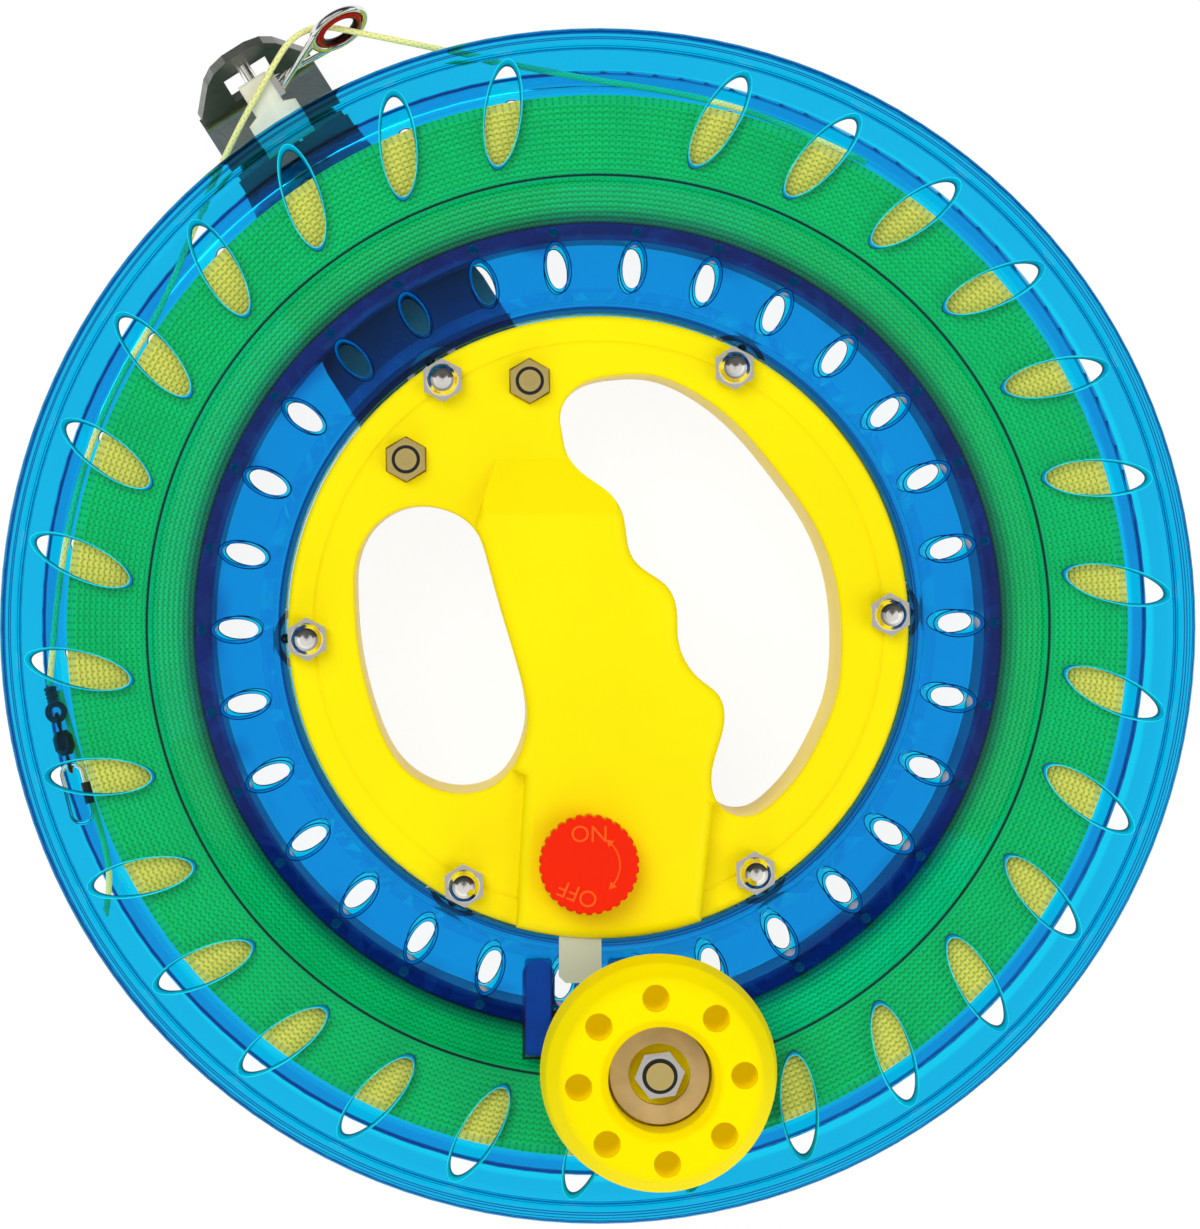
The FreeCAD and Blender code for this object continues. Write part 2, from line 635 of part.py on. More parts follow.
# ----------------------------------------------------------------- the hub
# The two hand openings, drawn for a hub of this radius: x and y in millimetres.
DRAWN_HUB_RADIUS = 57.4
THUMB_OPENING = [
    (-45.1, 8.5), (-44.2, -4.9), (-41.4, -16.2), (-36.2, -26.0), (-30.5, -29.8),
    (-24.6, -30.8), (-18.8, -28.9), (-14.9, -23.7), (-13.3, -17.0), (-14.3, -10.0),
    (-17.4, 0.6), (-20.4, 11.4), (-23.0, 18.0), (-29.6, 21.9), (-36.0, 21.8), (-42.2, 17.6),
]
FINGER_OPENING = [
    (-7.0, 37.0), (-6.1, 41.9), (-2.9, 44.9), (2.4, 46.3), (9.8, 46.4), (17.2, 43.6),
    (23.2, 39.4), (28.4, 34.3), (33.8, 27.6), (38.4, 21.3), (42.1, 14.1), (44.2, 6.4),
    (44.9, -2.6), (43.9, -13.0), (40.6, -21.3), (36.9, -27.6), (33.0, -32.0),
    (28.6, -34.9), (24.0, -34.4), (21.1, -30.8), (20.8, -26.4), (22.4, -20.6),
    (23.1, -16.2), (21.9, -12.4), (18.9, -9.9), (16.2, -6.8), (14.5, -1.9),
    (14.3, 3.2), (12.4, 7.6), (8.8, 10.2), (6.1, 12.9), (5.0, 17.0), (4.2, 21.2),
    (1.4, 25.1), (-2.9, 28.2), (-5.9, 32.0),
]
GRIP_PLAN = [
    (-18.0, 34.0), (-25.0, 12.0), (-24.0, -22.0), (-13.6, -27.5), (-15.6, -60.0),
    (18.2, -60.0), (20.9, -33.0), (30.0, -27.0), (4.0, 34.0),
]
RAMP_START = 20.5
RAMP_END = 31.0


def fitted(points):
    """The drawn points at the hub's real size."""
    factor = hub_radius.value / DRAWN_HUB_RADIUS
    return [(x * factor, y * factor) for x, y in points]


def moved_out(points, distance):
    """The outline moved outwards everywhere by a distance."""
    moved = []
    for index, (x, y) in enumerate(points):
        back_x, back_y = points[index - 1]
        next_x, next_y = points[(index + 1) % len(points)]
        along_x, along_y = next_x - back_x, next_y - back_y
        length = math.hypot(along_x, along_y)
        moved.append((x - along_y / length * distance, y + along_x / length * distance))
    area = sum(a[0] * b[1] - b[0] * a[1] for a, b in zip(points, points[1:] + points[:1]))
    if area < 0:
        return moved
    return [(2 * x - mx, 2 * y - my) for (x, y), (mx, my) in zip(points, moved)]


def hand_openings(owner, name, level, depth):
    openings = sketch(owner, name, lift=level)
    closed_curve(openings, fitted(THUMB_OPENING))
    closed_curve(openings, fitted(FINGER_OPENING))
    return pocket(owner, openings, name + "_cut", depth)


def hollow(owner, name, side, depth):
    """Hollow a shell from the bearing plane, leaving a wall round it and its openings."""
    inside = sketch(owner, name, lift=middle_z)
    circle(inside, 0.0, 0.0, hub_radius - hub_wall)
    closed_curve(inside, moved_out(fitted(THUMB_OPENING), hub_wall.value))
    closed_curve(inside, moved_out(fitted(FINGER_OPENING), hub_wall.value))
    return pocket(owner, inside, name + "_cut", depth, up=side > 0)


def bolt_posts(owner, side, length):
    """Posts round the housing bolts, which end on the bearings' inner rings."""
    seat = middle_z + side * (bearing_width / 2)
    race_radius = bolt_radius + bolt_gap + inner_race
    x, y = polar(bolt_circle, bolt_start)
    rooms = sketch(owner, "bearing_room", lift=middle_z)
    circle(rooms, x, y, bearing_radius + pocket_gap)
    room = pocket(owner, rooms, "bearing_room_cut", bearing_width / 2 + pocket_gap, up=side > 0)
    ring_of(owner, room, "bearing_rooms", bolt_count)
    posts = sketch(owner, "post_section", lift=seat + side * pocket_gap)
    circle(posts, x, y, post_radius)
    post = pad(owner, posts, "post", length, down=side < 0)
    ring_of(owner, post, "posts", bolt_count)
    noses = sketch(owner, "nose_section", lift=seat)
    circle(noses, x, y, race_radius - 0.1)
    nose = pad(owner, noses, "nose", pocket_gap + 0.5, down=side < 0)
    ring_of(owner, nose, "noses", bolt_count)
    bores = sketch(owner, "bolt_bore", lift=middle_z)
    circle(bores, x, y, bolt_radius + bolt_gap)
    bore = pocket(owner, bores, "bolt_bore_cut", BORE_TOO_DEEP, midplane=True)
    ring_of(owner, bore, "bolt_bores", bolt_count)


def arm_axis():
    """Direction of the guide arm, outwards and sideways, as sizes along x and y."""
    out = polar(Size.of(1.0), arm_angle)
    return out, (-out[1], out[0])


def on_arm(out, side):
    """The x and y of a spot given along the arm and across it."""
    (out_x, out_y), (side_x, side_y) = arm_axis()
    out, side = Size.of(out), Size.of(side)
    return out * out_x + side * side_x, out * out_y + side * side_y


def arm_screw_bores(owner, radius, name, level):
    bores = sketch(owner, name, lift=level)
    for side in (-1, 1):
        x, y = on_arm(screw_circle, side * screw_pitch / 2)
        circle(bores, x, y, radius)
    return pocket(owner, bores, name + "_cut", BORE_TOO_DEEP, midplane=True)


def arm_screw_posts(owner, side, length):
    posts = sketch(owner, "arm_posts", lift=middle_z)
    for across in (-1, 1):
        x, y = on_arm(screw_circle, across * screw_pitch / 2)
        circle(posts, x, y, post_radius)
    pad(owner, posts, "arm_post", length, down=side < 0)


def handle_back():
    owner = body("handle_back")
    disc = sketch(owner, "disc")
    circle(disc, 0.0, 0.0, hub_radius)
    plate = pad(owner, disc, "plate", middle_z)
    soften(owner, plate, "back_edge", hub_edge, at_height(Size.of(0.0)))
    hand_openings(owner, "openings", middle_z, BORE_TOO_DEEP)
    hollow(owner, "inside", -1, middle_z - hub_wall - arm_sheet)
    arm_screw_posts(owner, -1, middle_z - hub_wall)
    bolt_posts(owner, -1, middle_z - bearing_width / 2 - pocket_gap - hub_wall)

    post_top = hub_face - 1.0
    post_low = hub_wall + arm_sheet - 0.1
    spindle_post = sketch(owner, "spindle_post", lift=post_low)
    circle(spindle_post, lock_x, lock_y, spindle_radius + 1.6)
    pad(owner, spindle_post, "spindle_column", post_top - post_low)
    bed = sketch(owner, "tongue_bed", lift=post_low)
    left = lock_tongue_x() - tongue_width / 2
    polygon(bed, [
        (left, -(hub_radius - hub_wall - 0.6)), (left + 1.8, -(hub_radius - hub_wall - 0.6)),
        (left + 1.8, lock_y + 6.0), (left, lock_y + 6.0),
    ])
    pad(owner, bed, "tongue_rib", tongue_z - post_low)
    spindle_bore = sketch(owner, "spindle_bore", lift=post_top)
    circle(spindle_bore, lock_x, lock_y, spindle_radius + spindle_gap)
    pocket(owner, spindle_bore, "spindle_bore_cut", spindle_length + 0.4)

    heads = sketch(owner, "bolt_heads")
    x, y = polar(bolt_circle, bolt_start)
    circle(heads, x, y, head_radius + seat_gap)
    seat = pocket(owner, heads, "bolt_head_cut", head_height + 0.4, up=True)
    ring_of(owner, seat, "bolt_head_seats", bolt_count)

    arm_screw_bores(owner, bolt_radius + bolt_gap, "arm_screw_bore", middle_z)
    recess = sketch(owner, "arm_recess")
    near, far, edge = arm_inner - 0.2, hub_radius + 5.0, arm_width / 2 + 0.2
    polygon(recess, [
        on_arm(near, arm_corner - edge), on_arm(near + arm_corner, -edge), on_arm(far, -edge),
        on_arm(far, edge), on_arm(near + arm_corner, edge), on_arm(near, edge - arm_corner),
    ])
    pocket(owner, recess, "arm_recess_cut", arm_sheet, up=True)


def handle_front():
    owner = body("handle_front")
    disc = sketch(owner, "disc", lift=middle_z)
    circle(disc, 0.0, 0.0, hub_radius)
    plate = pad(owner, disc, "plate", hub_front)
    soften(owner, plate, "front_edge", hub_edge, at_height(hub_face))
    groove = sketch(owner, "face_groove", lift=hub_face)
    circle(groove, 0.0, 0.0, bolt_circle - 1.0)
    circle(groove, 0.0, 0.0, bolt_circle - 1.5)
    pocket(owner, groove, "face_groove_cut", 0.25)

    factor = hub_radius / DRAWN_HUB_RADIUS
    grip = sketch(owner, "grip_plan", lift=hub_face - 0.5)
    polygon(grip, [(factor * x, factor * y) for x, y in GRIP_PLAN])
    pad(owner, grip, "grip", grip_rise + 0.5)
    trim = sketch(owner, "grip_trim", lift=hub_face - 1.0)
    circle(trim, 0.0, 0.0, hub_radius)
    circle(trim, 0.0, 0.0, hub_radius * 1.4)
    pocket(owner, trim, "grip_trim_cut", grip_rise + 2.0, up=True)
    ramp = sketch(owner, "ramp", "YZ_Plane")
    polygon(ramp, [
        (factor * RAMP_START, grip_face), (factor * RAMP_END, hub_face),
        (factor * (RAMP_END + 4.0), hub_face), (factor * (RAMP_END + 4.0), grip_face + 1.0),
        (factor * RAMP_START, grip_face + 1.0),
    ])
    pocket(owner, ramp, "ramp_cut", BORE_TOO_DEEP, midplane=True)
    opened = hand_openings(owner, "openings", grip_face + 1.0, BORE_TOO_DEEP)

    def grip_rim(edge):
        box = edge.BoundBox
        return abs(box.ZMin - grip_face.value) < 1e-4 and abs(box.ZMax - grip_face.value) < 1e-4

    softened = soften(owner, opened, "grip_round", grip_edge, grip_rim)

    def face_rim(edge):
        box = edge.BoundBox
        level = abs(box.ZMin - hub_face.value) < 1e-4 and abs(box.ZMax - hub_face.value) < 1e-4
        middle = edge.valueAt((edge.FirstParameter + edge.LastParameter) / 2)
        inside = math.hypot(middle.x, middle.y) < bolt_circle.value - 4.0
        return level and inside and edge.Length > 20

    soften(owner, softened, "opening_round", 0.8, face_rim)

    hollow(owner, "inside", 1, hub_front - hub_wall)
    arm_screw_posts(owner, 1, hub_front - hub_wall + 0.1)
    bolt_posts(owner, 1, hub_front - bearing_width / 2 - pocket_gap - hub_wall + 0.1)

    room = sketch(owner, "lock_room", lift=hub_face - hub_wall - 0.1)
    left = lock_tongue_x() - tongue_width / 2 - tongue_gap
    right = lock_x + pitch_radius + gear_module + 0.6
    low = -(hub_radius - hub_wall)
    corners = [(left, low), (right, low), (right, lock_y + 13.0), (left, lock_y + 13.0)]
    polygon(room, corners)
    room_height = hub_wall + 0.1 + tongue_lift + tongue_height + tongue_gap
    pocket(owner, room, "lock_room_cut", room_height, up=True)
    mouth = sketch(owner, "tongue_mouth", lift=tongue_z - tongue_gap)
    edge = lock_tongue_x() + tongue_width / 2 + tongue_gap
    outer = -(hub_radius + 2.0)
    polygon(mouth, [(left, low + 1.0), (left, outer), (edge, outer), (edge, low + 1.0)])
    pocket(owner, mouth, "tongue_mouth_cut", tongue_height + 2 * tongue_gap, up=True)
    spindle_bore = sketch(owner, "spindle_bore", lift=grip_face)
    circle(spindle_bore, lock_x, lock_y, spindle_radius + spindle_gap)
    pocket(owner, spindle_bore, "spindle_bore_cut", hub_wall + 2.0)

    nut_seats = sketch(owner, "nut_seats", lift=hub_face)
    for side in (-1, 1):
        x, y = on_arm(screw_circle, side * screw_pitch / 2)
        hexagon(nut_seats, x, y, nut_width + 0.5)
    pocket(owner, nut_seats, "nut_seat_cut", 1.2)
    arm_screw_bores(owner, bolt_radius + bolt_gap, "arm_screw_bore", middle_z)


def housing_bolts():
    owner = body("housing_bolts")
    low = 0.4
    shoulder = head_height + 0.4
    top = hub_face + nut_height + 0.8
    section = upright(owner, "bolt_section", bolt_circle)
    polygon(section, [
        (0.0, low), (head_radius - 0.6, low), (head_radius, low + 0.8), (head_radius, shoulder),
        (bolt_radius, shoulder), (bolt_radius, top), (0.0, top),
    ])
    bolt = revolve(owner, section, "bolt")
    socket = sketch(owner, "socket_outline", lift=low)
    hexagon(socket, bolt_circle, 0.0, bolt_radius * 1.25)
    drive = pocket(owner, socket, "socket", 1.5, up=True)
    ring_of(owner, [bolt, drive], "bolts", bolt_count)
    turn_to(owner, bolt_start)


def dome_nuts():
    owner = body("dome_nuts")
    plan = sketch(owner, "hexagon_plan", lift=hub_face)
    hexagon(plan, bolt_circle, 0.0, nut_width)
    flats = pad(owner, plan, "flats", nut_height)
    shoulder = hub_face + nut_height
    section = upright(owner, "dome_section", bolt_circle)
    rim = dome_radius * 0.92
    polygon(section, [
        (0.0, shoulder - 1.0), (dome_radius, shoulder - 1.0), (dome_radius, shoulder + 1.0),
        (rim, shoulder + 1.0 + dome_radius * 0.39),
        (dome_radius * 0.71, shoulder + 1.0 + dome_radius * 0.71),
        (dome_radius * 0.39, shoulder + 1.0 + rim), (0.0, shoulder + 1.0 + dome_radius),
    ])
    dome = revolve(owner, section, "dome")
    bores = sketch(owner, "thread_plan", lift=hub_face)
    circle(bores, bolt_circle, 0.0, bolt_radius + bolt_gap)
    thread = pocket(owner, bores, "thread", nut_height + 1.0, up=True)
    ring_of(owner, [flats, dome, thread], "nuts", bolt_count)
    turn_to(owner, bolt_start)


# ----------------------------------------------------------------- the bearings
def bearings():
    bore = bolt_radius + bolt_gap
    race = bore + inner_race
    cup = bearing_radius - outer_race
    ball = (cup - race) / 2 - ball_gap
    track = (cup + race) / 2
    tube("bearing_inner_rings", bore, race, bearing_low, bearing_high, x=bolt_circle,
         start=bolt_start, count=bolt_count)
    owner = body("bearing_balls")
    balls = []
    for index in range(round(ball_count.value)):
        share = Size.of(360.0 * index) / ball_count
        along, across = polar(track, share)
        balls.append(sphere(owner, f"ball_{index + 1}", bolt_circle + along, across, middle_z, ball))
    ring_of(owner, balls, "balls", bolt_count)
    turn_to(owner, bolt_start)
    for index in range(round(bolt_count.value)):
        angle = bolt_start + Size.of(360.0 * index) / bolt_count
        tube(f"bearing_outer_ring_{index + 1}", cup, bearing_radius, bearing_low, bearing_high,
             x=bolt_circle, start=angle)


def sphere(owner, name, x, y, z, radius):
    made = owner.newObject("PartDesign::AdditiveSphere", name)
    made.AttachmentSupport = [(origin_part(owner, "XY_Plane"), "")]
    made.MapMode = "FlatFace"
    made.AttachmentOffset = Placement(Vector(x.value, y.value, z.value), Rotation())
    for axis, amount in (("x", x), ("y", y), ("z", z)):
        made.setExpression(f"AttachmentOffset.Base.{axis}", amount.text)
    made.Radius = radius.value
    made.setExpression("Radius", radius.text)
    return made


# ----------------------------------------------------------------- the guide arm
bracket_foot = front_radius + arm_reach
bracket_lean = arm_lean / arm_height
block_start = front_radius - block_inner
# Left side of the bracket's rounded top, as shares of its width and its height.
BRACKET_SHOULDER = [(-0.5, 0.78), (-0.36, 0.92), (-0.16, 0.99)]


def guide_arm():
    """A steel strip that runs out behind the spool and is bent up into a bracket."""
    owner = body("guide_arm")
    sheet_across = arm_sheet * 1.01
    inner_foot = bracket_foot - sheet_across + arm_sheet * bracket_lean
    side = sketch(owner, "side_view", "XZ_Plane")
    polygon(side, [
        (arm_inner, 0.0), (bracket_foot, 0.0), (bracket_foot + arm_lean, arm_height),
        (bracket_foot + arm_lean - sheet_across, arm_height), (inner_foot, arm_sheet),
        (arm_inner, arm_sheet),
    ])
    strip = pad(owner, side, "strip", arm_width, midplane=True)

    def outer_bend(edge):
        return all(
            abs(spot.X - bracket_foot.value) < 1e-4 and abs(spot.Z) < 1e-4 for spot in edge.Vertexes)

    def inner_bend(edge):
        return all(
            abs(spot.X - inner_foot.value) < 1e-4 and abs(spot.Z - arm_sheet.value) < 1e-4
            for spot in edge.Vertexes)

    bent = soften(owner, strip, "outer_bend", arm_sheet * 2, outer_bend)
    soften(owner, bent, "inner_bend", arm_sheet, inner_bend)

    plan = sketch(owner, "plan")
    far = bracket_foot + arm_lean + 20.0
    near = arm_inner - 10.0
    polygon(plan, [(near, -arm_width), (far, -arm_width), (far, arm_width), (near, arm_width)])
    half = arm_width / 2
    polygon(plan, [
        (arm_inner - 1.0, arm_corner + 1.0 - half), (arm_inner + arm_corner + 1.0, -half - 1.0),
        (hub_radius + 3.0, -half - 1.0), (back_radius, -arm_neck / 2),
        (far - 5.0, -arm_neck / 2), (far - 5.0, arm_neck / 2), (back_radius, arm_neck / 2),
        (hub_radius + 3.0, half + 1.0), (arm_inner + arm_corner + 1.0, half + 1.0),
        (arm_inner - 1.0, half - arm_corner - 1.0),
    ])
    pocket(owner, plan, "taper", BORE_TOO_DEEP, midplane=True)

    front = sketch(owner, "front_view", "YZ_Plane")
    over = arm_height + 10.0
    foot = arm_neck / 2 - 0.4
    corners = [(-arm_width, 4.0), (-foot, 4.0), (-foot, 9.0)]
    corners += [(bracket_top * across, arm_height * up) for across, up in BRACKET_SHOULDER]
    corners += [(bracket_top * -across, arm_height * up) for across, up in reversed(BRACKET_SHOULDER)]
    corners += [(foot, 9.0), (foot, 4.0), (arm_width, 4.0), (arm_width, over), (-arm_width, over)]
    polygon(front, corners)
    pocket(owner, front, "shoulders", BORE_TOO_DEEP, midplane=True)
    window = sketch(owner, "window_view", "YZ_Plane")
    half = window_width / 2
    polygon(window, [(-half, window_low), (half, window_low), (half, window_high), (-half, window_high)])
    pocket(owner, window, "window", BORE_TOO_DEEP, midplane=True)
    rivet = sketch(owner, "rod_hole_view", "YZ_Plane")
    circle(rivet, 0.0, rod_height, rod_radius)
    pocket(owner, rivet, "rod_hole", BORE_TOO_DEEP, midplane=True)
    clear = sketch(owner, "bolt_head_plan")
    circle(clear, bolt_circle, 0.0, head_radius + 0.3)
    pocket(owner, clear, "bolt_head_hole", BORE_TOO_DEEP, midplane=True)
    screws = sketch(owner, "screw_holes_plan")
    for across in (-1, 1):
        circle(screws, screw_circle, across * screw_pitch / 2, bolt_radius + bolt_gap)
    holes = pocket(owner, screws, "screw_holes", BORE_TOO_DEEP, midplane=True)
    doc.recompute()
    edges = []
    for index, edge in enumerate(holes.Shape.Edges):
        round_edge = len(edge.Vertexes) == 1 and edge.BoundBox.ZMax < 1e-4
        if round_edge:
            edges.append(f"Edge{index + 1}")
    sink = owner.newObject("PartDesign::Chamfer", "countersinks")
    sink.Base = (holes, edges)
    sink.Size = arm_sheet.value * 0.9
    sink.setExpression("Size", (arm_sheet * 0.9).text)
    owner.Tip = sink
    turn_to(owner, arm_angle)


def guide_arm_screws():
    owner = body("guide_arm_screws")
    head = bolt_radius + arm_sheet * 0.9
    top = hub_face + nut_height + 0.6
    section = upright(owner, "screw_section", screw_circle, screw_pitch / 2)
    polygon(section, [
        (0.0, 0.05), (head, 0.05), (bolt_radius, arm_sheet * 0.9 + 0.05), (bolt_radius, top), (0.0, top),
    ])
    screw = revolve(owner, section, "screw")
    sockets = []
    for name, level, up in (("back_socket", 0.05, True), ("front_socket", top, False)):
        drawing = sketch(owner, name + "_plan", lift=level)
        hexagon(drawing, screw_circle, screw_pitch / 2, bolt_radius)
        sockets.append(pocket(owner, drawing, name, 1.0, up=up))
    mirror(owner, [screw] + sockets, "XZ_Plane", "screws")
    turn_to(owner, arm_angle)


def guide_arm_nuts():
    low = hub_face - 1.2
    collar = nut_width * 0.46
    owner = body("guide_arm_nuts")
    plan = sketch(owner, "nut_plan", lift=low)
    hexagon(plan, screw_circle, screw_pitch / 2, nut_width)
    circle(plan, screw_circle, screw_pitch / 2, bolt_radius + bolt_gap)
    flats = pad(owner, plan, "flats", nut_height)
    ring = sketch(owner, "collar_plan", lift=low + nut_height)
    circle(ring, screw_circle, screw_pitch / 2, collar)
    circle(ring, screw_circle, screw_pitch / 2, collar - 0.6)
    wall = pad(owner, ring, "collar", 1.2)
    mirror(owner, [flats, wall], "XZ_Plane", "nuts")
    turn_to(owner, arm_angle)

    owner = body("guide_arm_nut_inserts")
    plan = sketch(owner, "insert_plan", lift=low + nut_height)
    circle(plan, screw_circle, screw_pitch / 2, collar - 0.6)
    circle(plan, screw_circle, screw_pitch / 2, bolt_radius + bolt_gap)
    insert = pad(owner, plan, "insert", 1.0)
    mirror(owner, insert, "XZ_Plane", "inserts")
    turn_to(owner, arm_angle)


def guide_pivot_rod():
    owner = body("guide_pivot_rod")
    start = block_start - 0.3
    end = bracket_foot + rod_height * bracket_lean + 0.8
    shaft = sketch(owner, "shaft_end", "YZ_Plane", lift=start)
    circle(shaft, 0.0, rod_height, rod_radius)
    pad(owner, shaft, "shaft", end - start)
    head = sketch(owner, "head_end", "YZ_Plane", lift=start)
    circle(head, 0.0, rod_height, rod_radius + 1.0)
    pad(owner, head, "head", 0.8, down=True)
    turn_to(owner, arm_angle)


def guide_block():
    owner = body("guide_block")
    step = front_radius + block_step
    end = block_start + block_length
    wide, narrow = block_width / 2, block_waist / 2
    plan = sketch(owner, "block_plan", lift=rod_height - block_half)
    polygon(plan, [
        (block_start, -wide), (step - 0.8, -wide), (step, -narrow), (end, -narrow),
        (end, narrow), (step, narrow), (step - 0.8, wide), (block_start, wide),
    ])
    block = pad(owner, plan, "block", block_half * 2)

    def upper_or_lower(edge):
        box = edge.BoundBox
        return box.ZMax - box.ZMin < 1e-4

    soften(owner, block, "block_round", 0.7, upper_or_lower)
    bore = sketch(owner, "bore_end", "YZ_Plane")
    circle(bore, 0.0, rod_height, rod_radius + rod_gap)
    pocket(owner, bore, "bore", BORE_TOO_DEEP, midplane=True)
    turn_to(owner, arm_angle)


def bound(kind, name, **sizes):
    """A Part primitive whose sizes are bound to the sheet."""
    made = doc.addObject(kind, name)
    for key, amount in sizes.items():
        amount = Size.of(amount)
        setattr(made, key, amount.value)
        made.setExpression(key, amount.text)
    return made


def strut(name, start, end, radius):
    """A round bar from one spot to another."""
    bar = bound("Part::Cylinder", name, Radius=radius)
    bar.Height = (end - start).Length
    bar.Placement = Placement(start, Rotation(Vector(0, 0, 1), end - start))
    return bar


def joined(name, pieces):
    made = doc.addObject("Part::MultiFuse", name)
    made.Label = name
    made.Shapes = pieces
    nodes.append(made)
    return made


def eye_place():
    """Centre of the guide eye in the arm's own frame, and its turn."""
    centre = Vector((front_radius + eye_out).value, -eye_side.value, eye_height.value)
    return Placement(centre, Rotation(Vector(0, 1, 0), -eye_tilt.value))


def guide_eye():
    where = eye_place()
    ring = bound("Part::Torus", "eye_ring", Radius1=eye_radius, Radius2=eye_wire)
    ring.Placement = where
    side = (block_waist / 2).value
    foot_length = 4.6
    foot_from = (front_radius + block_step).value + 1.0
    foot_low = rod_height.value - 3.6
    foot = bound("Part::Box", "eye_foot", Width=foot_sheet, Height=7.2)
    foot.Length = foot_length
    foot.Placement = Placement(Vector(foot_from, -side - foot_sheet.value, foot_low), Rotation())
    pieces = [ring, foot]
    legs = ((62.0, 0.9, 6.0), (0.0, 2.3, 4.4), (-62.0, 3.7, 2.2))
    for index, (angle, along, up) in enumerate(legs):
        turn = math.radians(angle)
        rim = Vector(math.sin(turn), math.cos(turn), 0) * eye_radius.value
        start = Vector(foot_from + along, -side - foot_sheet.value / 2, foot_low + up)
        pieces.append(strut(f"eye_leg_{index + 1}", start, where.multVec(rim), eye_wire * 0.85))
    frame = joined("guide_eye_frame", pieces)
    turn_to(frame, arm_angle)
    liner_middle = eye_radius - eye_wire - liner_radius
    liner = bound("Part::Torus", "guide_eye_liner", Radius1=liner_middle, Radius2=liner_radius)
    turned = Placement(Vector(), Rotation(Vector(0, 0, 1), arm_angle.value))
    liner.Placement = turned.multiply(where)
    nodes.append(liner)


# ----------------------------------------------------------------- the crank
crank_base = flange_front_z + crank_post_rise
knob_base = crank_base + knob_gap
sleeve_top = knob_base + knob_floor + 0.4
sleeve_radius = crank_bolt_radius + bolt_gap + sleeve_wall


def crank_bolt():
    owner = body("crank_bolt")
    low = flange_front_z - flange_wall + 0.2
    plan = sketch(owner, "head_plan", lift=low)
    hexagon(plan, crank_circle, 0.0, crank_head)
    pad(owner, plan, "head", crank_head_height)
    shaft = sketch(owner, "shaft_plan", lift=low)
    circle(shaft, crank_circle, 0.0, crank_bolt_radius)
    pad(owner, shaft, "shaft", sleeve_top + crank_nut_height + 0.8 - low)
    turn_to(owner, crank_angle)


def crank_sleeve():
    tube("crank_sleeve", crank_bolt_radius + bolt_gap, sleeve_radius, crank_base, sleeve_top,
         x=crank_circle, start=crank_angle)


def crank_nut():
    owner = body("crank_nut")
    collar = crank_head * 0.47
    plan = sketch(owner, "nut_plan", lift=sleeve_top)
    hexagon(plan, crank_circle, 0.0, crank_head)
    circle(plan, crank_circle, 0.0, crank_bolt_radius + bolt_gap)
    pad(owner, plan, "flats", crank_nut_height - 1.4)
    ring = sketch(owner, "collar_plan", lift=sleeve_top + crank_nut_height - 1.4)
    circle(ring, crank_circle, 0.0, collar)
    circle(ring, crank_circle, 0.0, collar - 0.55)
    pad(owner, ring, "collar", 1.4)
    turn_to(owner, crank_angle)
    insert_low = sleeve_top + crank_nut_height - 1.4
    tube("crank_nut_insert", crank_bolt_radius + bolt_gap, collar - 0.55, insert_low,
         insert_low + 1.1, x=crank_circle, start=crank_angle)


def crank_knob():
    owner = body("crank_knob")
    bore = sleeve_radius + spin_gap
    top = knob_base + knob_height
    section = upright(owner, "knob_section", crank_circle)
    polygon(section, [
        (bore, knob_base), (knob_foot, knob_base), (knob_radius, knob_base + knob_height * 0.3),
        (knob_radius - 0.9, knob_base + knob_height * 0.72), (knob_crown, top),
        (well_radius + 1.6, top), (well_radius, top - 2.2), (well_radius, knob_base + knob_floor),
        (bore, knob_base + knob_floor),
    ])
    knob = revolve(owner, section, "knob_turning")

    def whole_ring(edge, wide):
        return len(edge.Vertexes) == 1 and (edge.BoundBox.XLength > 30) == wide

    def crown(edge):
        return whole_ring(edge, True) and edge.BoundBox.ZMin > top.value - 8

    def well_rim(edge):
        return whole_ring(edge, False) and edge.BoundBox.ZMin > top.value - 3

    def foot_rim(edge):
        return whole_ring(edge, True) and edge.BoundBox.ZMax < knob_base.value + 8

    rounded = soften(owner, knob, "crown_round", 3.4, crown)
    rounded = soften(owner, rounded, "well_round", 1.2, well_rim)
    soften(owner, rounded, "foot_round", 1.6, foot_rim)
    holes = sketch(owner, "knob_holes_plan", lift=top)
    for index in range(round(knob_holes.value)):
        angle = knob_hole_start + Size.of(360.0 * index) / knob_holes
        x, y = polar(knob_hole_circle, angle)
        circle(holes, crank_circle + x, y, knob_hole_radius)
    pocket(owner, holes, "knob_holes", knob_hole_depth)
    turn_to(owner, crank_angle)


def crank_washer():
    low = knob_base + knob_floor
    tube("crank_washer", washer_hole, well_radius - 0.5, low, low + washer_height,
         x=crank_circle, start=crank_angle)


# ----------------------------------------------------------------- the lock
rack_pitch = gear_module * math.pi


def lock_knob():
    owner = body("lock_knob")
    low = grip_face + lock_knob_lift
    disc = sketch(owner, "disc", lift=low)
    circle(disc, lock_x, lock_y, lock_knob_radius)
    knob = pad(owner, disc, "knob", lock_knob_height)
    soften(owner, knob, "knob_edge", 0.6, at_height(low + lock_knob_height))
    grooves = sketch(owner, "grooves_plan", lift=low + lock_knob_height)
    for index in range(round(lock_serrations.value)):
        angle = Size.of(360.0 * index) / lock_serrations
        x, y = polar(lock_knob_radius + 0.15, angle)
        circle(grooves, lock_x + x, lock_y + y, serration_radius)
    pocket(owner, grooves, "grooves", BORE_TOO_DEEP, midplane=True)
    bore = sketch(owner, "spindle_seat", lift=low)
    circle(bore, lock_x, lock_y, spindle_radius)
    pocket(owner, bore, "spindle_seat_cut", lock_knob_height * 0.6, up=True)


